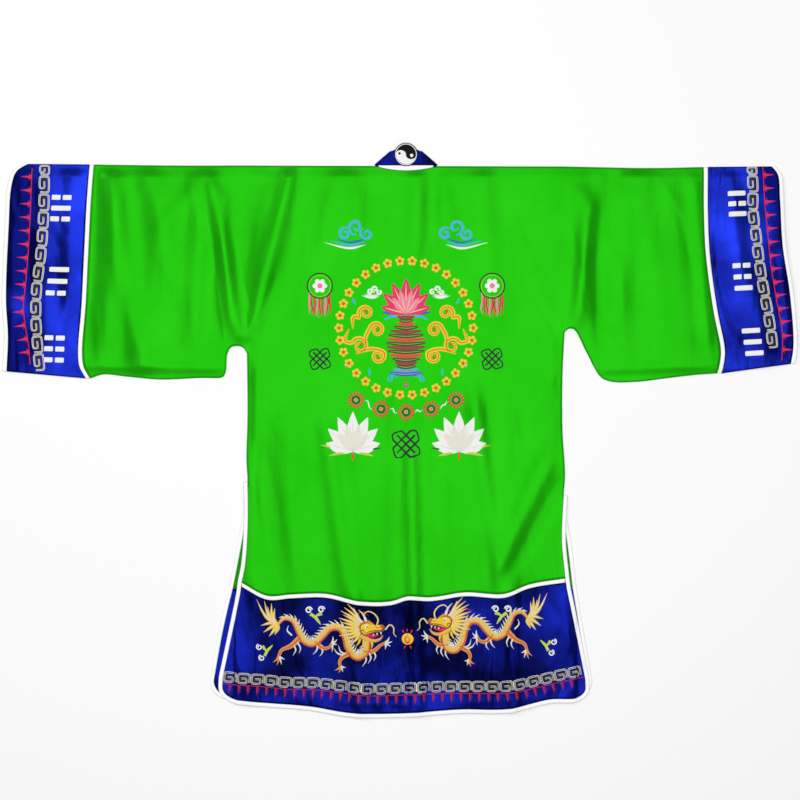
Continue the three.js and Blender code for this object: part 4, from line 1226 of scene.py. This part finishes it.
def layDragon(bm, place, mirror):
    body = curveThrough(place(bodyPath))
    halves = np.array(bodyHalves)

    def stroke(rows, wide, ink, height=plain, lift=0.0):
        ribbon(bm, place(rows), wide, ink, height=height, lift=lift)

    def beyond(u, share):  # a point beside the middle of the body, above for a positive share
        u = np.atleast_1d(u)
        ahead = body(u + 0.008) - body(u - 0.008)
        ahead /= np.linalg.norm(ahead, axis=1)[:, None]
        halfAt = np.interp(u, np.linspace(0, 1, len(halves)), halves)
        return body(u) + np.column_stack([-ahead[:, 1], ahead[:, 0]]) * (mirror * share * halfAt)[:, None]

    def layHead(outline, ink, height, lift):
        corners = place(outline)
        shape(bm, corners if mirror > 0 else corners[::-1], ink, height=height, lift=lift, points=52)

    for limb in limbs:
        wide, foot = np.array(limb["halves"]), limb["path"][-1]
        stroke(limb["path"], wide + 1.0, "brown", 0.4)
        stroke(limb["path"], wide, "peach", 0.9)
        stroke(limb["path"], 0.3 * wide, "orange", 0.5, 0.7)
        for tip in limb["claws"]:
            ink = "peach" if tip[0] < foot[0] else "cream"
            stroke(swayed(foot, tip, 1.2, -1.0), [2.3, 2.1, 1.3, 0.3], ink, lift=0.3)
    for rows in wisps:
        stroke(rows, [1.6, 1.5, 0.3], "cream", 0.5, 0.3)
    for number, tip in enumerate(plumes):
        sway = -5 if number < 6 else 4
        strand = swayed(roots["tail"], tip, sway, sway)
        stroke(strand, [3.0, 3.6, 2.4, 0.3], "yellow", lift=0.05 * number)
        stroke(strand, [0.3, 0.9, 0.9, 0.2], "cream", lift=0.4 + 0.05 * number)
    for u in np.linspace(0.07, 0.93, 34):
        ribbon(bm, [beyond(u, 0.8)[0], beyond(u - 0.022, 1.75)[0]], [1.9, 0.2], "cream", height=0.4, lift=0.2)
    stroke(bodyPath, halves + 1.3, "brown", 0.5)
    stroke(bodyPath, halves - 0.4, "gold", 1.1)
    edge = np.linspace(0.03, 0.97, 40)
    ribbon(bm, beyond(edge, -0.66), [0.8, 1.8, 2.2, 2.2, 2.2, 1.8], "orange", height=0.5, lift=0.6)
    fifths = np.linspace(0, 1, 5)
    bow = scales["bow"] * (1 - (2 * fifths - 1) ** 2)
    for u in np.linspace(0.05, 0.95, scales["rows"]):
        for low, high, shift in scales["halves"]:
            arc = [beyond(u + shift + b, c)[0] for b, c in zip(bow, np.linspace(low, high, 5))]
            ribbon(bm, arc, 0.55, "cream", height=0.3, lift=0.85, step=2.5)
        rib = [beyond(u, -0.86)[0], beyond(u + 0.004, -0.4)[0]]
        ribbon(bm, rib, 0.4, "crimson", height=0.25, lift=0.85, step=4)
    for number, tip in enumerate(mane):
        strand = swayed(roots["mane"], tip, 4, 5 - number)
        stroke(strand, [3.4, 4.4, 3.0, 0.6], "brown", 0.4, 0.5)
        stroke(strand, [2.4, 3.3, 2.0, 0.3], "yellow", 0.6, 0.8)
        stroke(strand, [0.3, 0.8, 0.9, 0.2], "cream", 0.4, 1.2)
    for horn in horns:
        stroke(horn, [2.6, 1.8, 0.4], "cream", lift=1.4)
    for root, tip in beard:
        stroke(swayed(root, tip, 2, 0), [2.2, 2.3, 1.4, 0.3], "yellow", lift=0.6)
    for row in jawStrokes:
        stroke(*row)
    layHead(headOutline, "brown", 0.9, 1.0)
    layHead(np.array(roots["face"]) + 0.88 * (np.array(headOutline) - roots["face"]), "yellow", 1.2, 1.2)
    for row in faceStrokes:
        stroke(*row)
    for x, y, radius, ink, height, lift in faceDiscs:
        disc(bm, place([(x, y)])[0], radius, ink, height=height, lift=lift)
    stroke(*nostril)
    for whisker in whiskers:
        stroke(whisker, [1.5, 1.5, 1.3, 1.1, 0.6], "paleGold", lift=0.9)


def layCloud(bm, centre, angle, scale, mirror=1):
    def stroke(rows, halves, ink, **look):
        ribbon(bm, inWorld(rows, centre, angle, scale, mirror), halves, ink, **look)

    for at in ((-13, 12), (13, 9)):
        turns, radius = np.linspace(0, 2.6 * math.pi, 22), np.linspace(7.2, 2.4, 22)
        curl = [around(at, a, r) for a, r in zip(turns, radius)]
        stroke(curl, [2.0 * scale, 2.2 * scale, 1.6 * scale], "white", height=0.5, step=2)
    for stem in ([(-11, 4), (-4, -3), (4, -13)], [(13, 1), (4, -1), (-2, -5)], [(-3, -2), (1, -10), (7, -22)]):
        stroke(stem, [4.6 * scale, 4.0 * scale, 1.0], "lime", height=0.6)
    stroke([(-9, 2), (-2, -4), (3, -11)], [0.5, 1.0, 0.3], "paleGold", height=0.4, lift=0.5)


hemWork = {
    "clouds": [((-168, -368), 0.15, 0.95, 1), ((-270, -440), 1.9, 0.85, 1),
               ((202, -366), -0.1, 0.95, -1), ((296, -430), -1.9, 0.85, -1)],
    "pearl": (15, -416), "pearlRadius": 13.0, "rays": (1.1, 1.6, 2.1, -1.2, -1.9),
    "flicker": [(1, 10), (-2, 5), (-5, 0), (-3, -5), (1, -7), (4, -3), (3, 2), (0, 5)],
    "streamers": [
        ([(86, -368), (100, -360), (118, -366), (132, -356), (146, -360)], [0.4, 1.3, 1.5, 1.3, 0.3], plain),
        ([(-60, -372), (-74, -362), (-92, -368), (-108, -360)], [0.4, 1.0, 1.0, 0.3], 0.4),
    ],
}


def dragonPlace(to):
    def place(rows):
        rows = np.array(rows, float)
        x = to["anchor"] + (rows[:, 0] - to["anchor"]) * to["drawnIn"] - dragonAxis
        return np.column_stack([dragonAxis + to["mirror"] * x, rows[:, 1] + to["lift"]])
    return place


def layHemClouds(bm):
    for cloud in hemWork["clouds"]:
        layCloud(bm, *cloud)
    for rows, halves, height in hemWork["streamers"]:
        ribbon(bm, rows, halves, "crimson", height=height)


def layPearl(bm):
    pearl, radius = hemWork["pearl"], hemWork["pearlRadius"]
    disc(bm, pearl, radius, "orange", height=1.0)
    disc(bm, pearl, 11.2, "yellow", height=0.9, lift=0.5)
    flicker = inWorld(hemWork["flicker"], pearl)
    ribbon(bm, flicker, [0.3, 1.3, 1.8, 2.0, 1.8, 1.3, 0.5], "crimson", height=0.6, lift=1.1, step=1.5)
    for angle in hemWork["rays"]:
        petal(bm, around(pearl, angle, radius), angle, 9, 2.4, "crimson", height=0.5)


dragons = [
    sewn(f"hem_dragon_{hand}", layDragon, dragonPlace(to), to["mirror"]) for hand, to in dragonPlaces.items()
]
hemClouds = sewn("hem_clouds", layHemClouds)
hemPearl = sewn("hem_pearl", layPearl)
print("hem ornament sewn")

# The middle of the back: a generic medallion of flowers, clouds and knots in the colours of the picture
medallion = {"centre": (12.0, 205.0), "ring": 134.0, "flowers": 34, "flower": 10.5}


def layFlower(bm, at, radius, ink, heart, lobes=5, turn=0.0):
    disc(bm, at, radius, ink, lobes=lobes, depth=0.3, turn=turn, height=0.7)
    disc(bm, at, radius * 0.36, heart, height=0.6, lift=0.5)
    for k in range(lobes):
        angle = turn + 2 * math.pi * (k + 0.5) / lobes
        ribbon(bm, [at, around(at, angle, 0.72 * radius)], [0.3, 0.55, 0.3], heart, height=0.3, lift=0.45)


def layLotus(bm, at, size, outer, inner, edge):
    for angle, reach in ((16, 0.8), (164, 0.8), (42, 0.95), (138, 0.95), (66, 1.05), (114, 1.05), (90, 1.12)):
        turn = math.radians(angle)
        petal(bm, at, turn, size * reach, size * 0.18, outer, height=0.8, lift=0.2)
        petal(bm, at, turn, size * reach * 0.94, size * 0.022, edge, height=0.4, lift=0.8)
    for angle, reach in ((50, 0.66), (130, 0.66), (76, 0.76), (104, 0.76)):
        petal(bm, at, math.radians(angle), size * reach, size * 0.14, inner, height=0.9, lift=0.8)
        petal(bm, at, math.radians(angle), size * reach * 0.9, size * 0.018, edge, height=0.4, lift=1.5)


def spiral(at, radius, turns, start, mirror=1, tail=()):
    angle = np.linspace(0, 2 * math.pi * turns, int(16 * turns))
    shrink = np.linspace(1.0, 0.22, len(angle))
    rows = [(at[0] + mirror * radius * r * math.cos(start + a), at[1] + radius * r * math.sin(start + a))
            for a, r in zip(angle, shrink)]
    return [*((at[0] + mirror * x, at[1] + y) for x, y in tail), *rows]


def layScroll(bm, at, mirror):  # a cloud of yellow curls with orange hearts
    curls = (
        ((2, 36), 15, -0.6, ((26, -32), (25, -8))),
        ((-20, 2), 15, 0.2, ((24, -36), (22, -12))),
        ((14, -30), 17, 0.4, ((22, 34), (30, 10))),
        ((-22, -50), 14, 2.6, ((44, 4), (14, 14))),
    )
    for (x, y), radius, start, tail in curls:
        rows = spiral((at[0] + mirror * x, at[1] + y), radius, 1.3, start, mirror, tail)
        ribbon(bm, rows, [1.5, 5.2, 5.4, 4.8, 4.2, 3.0], "yellow", height=0.9)
        ribbon(bm, rows, [0.3, 1.0, 1.1, 1.0, 0.8, 0.5], "orange", height=0.4, lift=0.75)
        disc(bm, rows[-1], 3.0, "orange", height=0.5, lift=0.9)
    for x, y, angle in ((22, 52, 1.1), (-34, 22, 2.7), (32, -62, -0.8), (-6, -74, -1.5)):
        turned = angle if mirror > 0 else math.pi - angle
        petal(bm, (at[0] + mirror * x, at[1] + y), turned, 17, 3.2, "cyan", height=0.5)


def layVase(bm, middle, top):
    bands = [
        (17, 0, "brown"), (14, 7, "pine"), (17, 14, "orange"), (24, 21, "pine"), (31, 29, "brown"),
        (35, 37, "pine"), (38, 45, "orange"), (39, 53, "pine"), (38, 61, "brown"), (36, 69, "pine"),
        (32, 77, "orange"), (27, 85, "pine"), (22, 92, "brown"), (19, 99, "pine"),
        (25, 106, "cyan"), (33, 113, "blue"),
    ]
    for wide, down, ink in bands:
        y = top - down
        rows = [(middle - wide, y + 1.4), (middle, y - 1.8), (middle + wide, y + 1.4)]
        ribbon(bm, rows, [2.6, 4.3, 4.7, 4.7, 4.3, 2.6], ink, height=0.9)
        trim = "gold" if ink in ("pine", "blue") else "crimson"
        ribbon(bm, rows, [0.3, 0.7, 0.7, 0.3], trim, height=0.4, lift=0.75)
    for sign in (-1, 1):
        foot = spiral((middle + sign * 33, top - 123), 7, 1.2, 1.6, sign, ((-16, 2), (-6, 8)))
        ribbon(bm, foot, [1.4, 2.6, 1.6], "cyan")


def ringRows(at, radius, count=33):
    return [around(at, angle, radius) for angle in np.linspace(0, 2 * math.pi, count)]


def layTassel(bm, at, radius):
    ribbon(bm, ringRows(at, radius), 1.6, "black", height=0.6)
    ribbon(bm, ringRows(at, radius * 0.86), 0.7, "lime", height=0.5)
    layFlower(bm, at, radius * 0.66, "white", "pink", lobes=6)
    for k in range(9):
        off = (k - 4) * 5.2
        x, y = at[0] + off, at[1] - radius * math.sqrt(1 - (off / radius) ** 2)
        sway = 1.6 * math.sin(1.7 * k + at[0])
        low = at[1] - radius - 30 - 8 * math.cos((k - 4) / 3)
        rows = [(x, y), (x + sway, 0.6 * y + 0.4 * low), (x - sway, 0.3 * y + 0.7 * low), (x + sway, low)]
        ribbon(bm, rows, [1.6, 2.3, 2.1, 0.4], "crimson" if k % 3 else "pink")


def layRuyi(bm, at, mirror, inks=("cyan", "blue", "white"), scale=1.0):
    for x, y, radius, start in ((-15, 0, 9, 0.9), (15, 0, 9, 2.2), (0, 9, 11, -1.57)):
        middle = (at[0] + x * scale, at[1] + y * scale)
        rows = spiral(middle, radius * scale, 1.25, start, 1 if x else mirror)
        ribbon(bm, rows, np.array([1.6, 3.4, 3.2, 2.0]) * scale ** 0.5, inks[0], height=0.7)
    for k, ink in enumerate((inks[1], inks[0], inks[2])):
        tail = [(-14, -7 - 4 * k), (8, -12 - 4 * k), (30 + 7 * k, -6 - 3 * k)]
        ribbon(bm, inWorld(tail, at, 0, scale, mirror), [0.4, 2.6 * scale ** 0.5, 2.2, 0.3], ink, height=0.5)


def layKnot(bm, at, size, half, ink="black"):
    for k in (-1, 0, 1):
        off = k * size * 0.5
        for rows in ([(-size, off), (size, off)], [(off, -size), (off, size)]):
            ribbon(bm, inWorld(rows, at, math.pi / 4), half, ink, height=0.6)
    loop = [(-0.5 * size, size), (1 - 0.25 * size, 1.3 * size), (0.49 * size, size)]
    for turn in range(4):
        ribbon(bm, inWorld(loop, at, math.pi / 4 + turn * math.pi / 2), half * 0.9, ink, height=0.6, step=2)


cx, cy = medallion["centre"]


def layFlowerRing(bm):
    for k in range(medallion["flowers"]):
        angle = math.pi / 2 + 2 * math.pi * (k + 0.5) / medallion["flowers"]
        at = around((cx, cy), angle, medallion["ring"])
        layFlower(bm, at, medallion["flower"], "yellow", "orange", turn=angle)


def layMiddle(bm):
    layVase(bm, cx, cy + 22)
    layLotus(bm, (cx, cy + 28), 64, "magenta", "pink", "paleGold")
    for sign in (-1, 1):
        petal(bm, (cx + sign * 3, cy + 28), math.pi / 2 - sign * 1.5, 46, 6, "blue", height=0.6)
        petal(bm, (cx + sign * 3, cy + 27), math.pi / 2 - sign * 1.75, 36, 4.5, "cyan", height=0.6)
        layScroll(bm, (cx + sign * 78, cy - 6), sign)
        layRuyi(bm, (cx + sign * 62, cy + 72), sign, ("white", "cream", "white"), 0.62)
    disc(bm, (cx, cy - 114), 5.5, "crimson", height=0.9)
    disc(bm, (cx, cy - 114), 3.0, "cyan", height=0.7, lift=0.8)


def layRosettes(bm):  # five in a row, with wisps between
    for k in range(5):
        at = (cx + (k - 2) * 50, cy - 168 + 6 * (k - 2) ** 2)
        ribbon(bm, ringRows(at, 13, 21), 3.0, "orange", height=0.6, step=2)
        for turn in np.linspace(0, 2 * math.pi, 14, endpoint=False):
            petal(bm, around(at, turn, 14), turn, 5, 1.4, "brown", height=0.5)
        disc(bm, at, 10.4, "pine", height=0.6)
        layFlower(bm, (at[0], at[1] + 0.01), 6.5, "lime", "orange", lobes=4, turn=0.4 * k)
        if k < 4:
            x, y = at[0] + 18, at[1] - 1
            drift = 6 * (k - 1) ** 2 - 6 * (k - 2) ** 2
            wisp = [(x, y), (x + 5, y + 4 + drift / 4), (x + 10, y - 3 + drift * 0.7), (x + 14, y + drift)]
            ribbon(bm, wisp, [0.5, 1.7, 1.7, 0.5], "white", height=0.5)


def laySurround(bm):
    for sign in (-1, 1):
        layTassel(bm, (cx + sign * 172, cy + 84), 25)
        layRuyi(bm, (cx + sign * 100, cy + 188), sign, scale=1.45)
        layKnot(bm, (cx + sign * 172, cy - 62), 19, 2.0)
        layLotus(bm, (cx + sign * 106, cy - 246), 70, "white", "cream", "cream")
        leaves = ((1.42, 66, "lime"), (1.8, 50, "lime"), (-1.5, 58, "pine"), (-1.85, 44, "lime"))
        for lean, reach, ink in leaves:
            petal(bm, (cx + sign * 106, cy - 244), math.pi / 2 - sign * lean, reach, 4.2, ink, height=0.6)
        petal(bm, (cx + sign * 106, cy - 249), -math.pi / 2, 17, 3.4, "orange", height=0.6)
    layKnot(bm, (cx, cy - 232), 25, 2.4)
    layRosettes(bm)


ringPiece = sewn("back_flower_ring", layFlowerRing)
heartPiece = sewn("back_vase_and_lotus", layMiddle)
aroundPiece = sewn("back_ornament", laySurround)
print("medallion sewn")

# Each cloth panel as a sheet: its cut, its area, what it lies on and what is sewn on it
sheets = [
    (backPiece, (1.28, 0.88), 0.80, ["front_left_satin", "front_right_satin"],
     [hemSeamTape, neckTape, ringPiece, heartPiece, aroundPiece]),
    (backHem, (0.73, 0.27), 0.155, ["front_hem_left_satin", "front_hem_right_satin"],
     [edgeTape, hemFret, hemFlames, *dragons, hemClouds, hemPearl]),
    (collarPiece, (0.05, 2.2), 0.109, ["floor"], [patchPiece]),
]
cuts = {
    "left": {"panel": ((0.59, 0.84), 0.347), "hem": ((0.32, 0.21), 0.066), "cuff": ((0.16, 0.83), 0.127)},
    "right": {"panel": ((0.57, 0.84), 0.330), "hem": ((0.31, 0.21), 0.062), "cuff": ((0.155, 0.81), 0.117)},
}
for hand, cutOf in cuts.items():
    sheets += [
        (fronts[hand]["panel"], *cutOf["panel"], ["floor"], fronts[hand]["tapes"]),
        (fronts[hand]["hem"], *cutOf["hem"], ["floor"], []),
        (cuffs[hand]["cloth"], *cutOf["cuff"], ["floor"], [*cuffs[hand]["tapes"], *cuffSewn[hand]]),
    ]
for piece, flat, area, under, sewn in sheets:
    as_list(under)
    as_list(sewn)

# Floor, light and camera
stage = {"floorHalf": 6.0, "drop": 0.2 * mm, "world": 0.25}
bm = bmesh.new()
bmesh.ops.create_grid(bm, x_segments=1, y_segments=1, size=stage["floorHalf"])
bmesh.ops.translate(bm, verts=bm.verts, vec=(0, 0, -stage["drop"]))
floor = meshObject("floor", bm)
paper = shaded("PalePaper", BaseColor=(0.92, 0.92, 0.92, 1), Roughness=0.9)[0]
floor.data.materials.append(paper)

studio = {
    "overhead": {"at": (0.0, 0.38, 4.4), "size": (4.4, 3.7), "power": 184},
    "window": {"at": (-4.5, 3.2, 3.6), "size": (1.5, 1.5), "power": 64},
}
for name, lamp in studio.items():
    data = bpy.data.lights.new(name, "AREA")
    data.shape = "RECTANGLE"
    data.size, data.size_y = lamp["size"]
    data.energy = lamp["power"]
    light = placed(name, data)
    light.location = lamp["at"]
    light.rotation_mode = "QUATERNION"
    light.rotation_quaternion = (-light.location).to_track_quat("-Z", "Y")
world = bpy.data.worlds.new("studio")
bpy.context.scene.world = world
world.use_nodes = True
world.node_tree.nodes["Background"].inputs["Color"].default_value = (1, 1, 1, 1)
world.node_tree.nodes["Background"].inputs["Strength"].default_value = stage["world"]
bpy.context.scene.view_settings.view_transform = "Standard"

shot = {"lens": 85.0, "frameWidth": 1.6, "centre": (0.0, 0.061)}  # the picture is 1.6 m wide
camera = placed("camera", bpy.data.cameras.new("camera"))
camera.data.lens = shot["lens"]
camera.location = (*shot["centre"], shot["frameWidth"] * shot["lens"] / camera.data.sensor_width)
bpy.context.scene.camera = camera
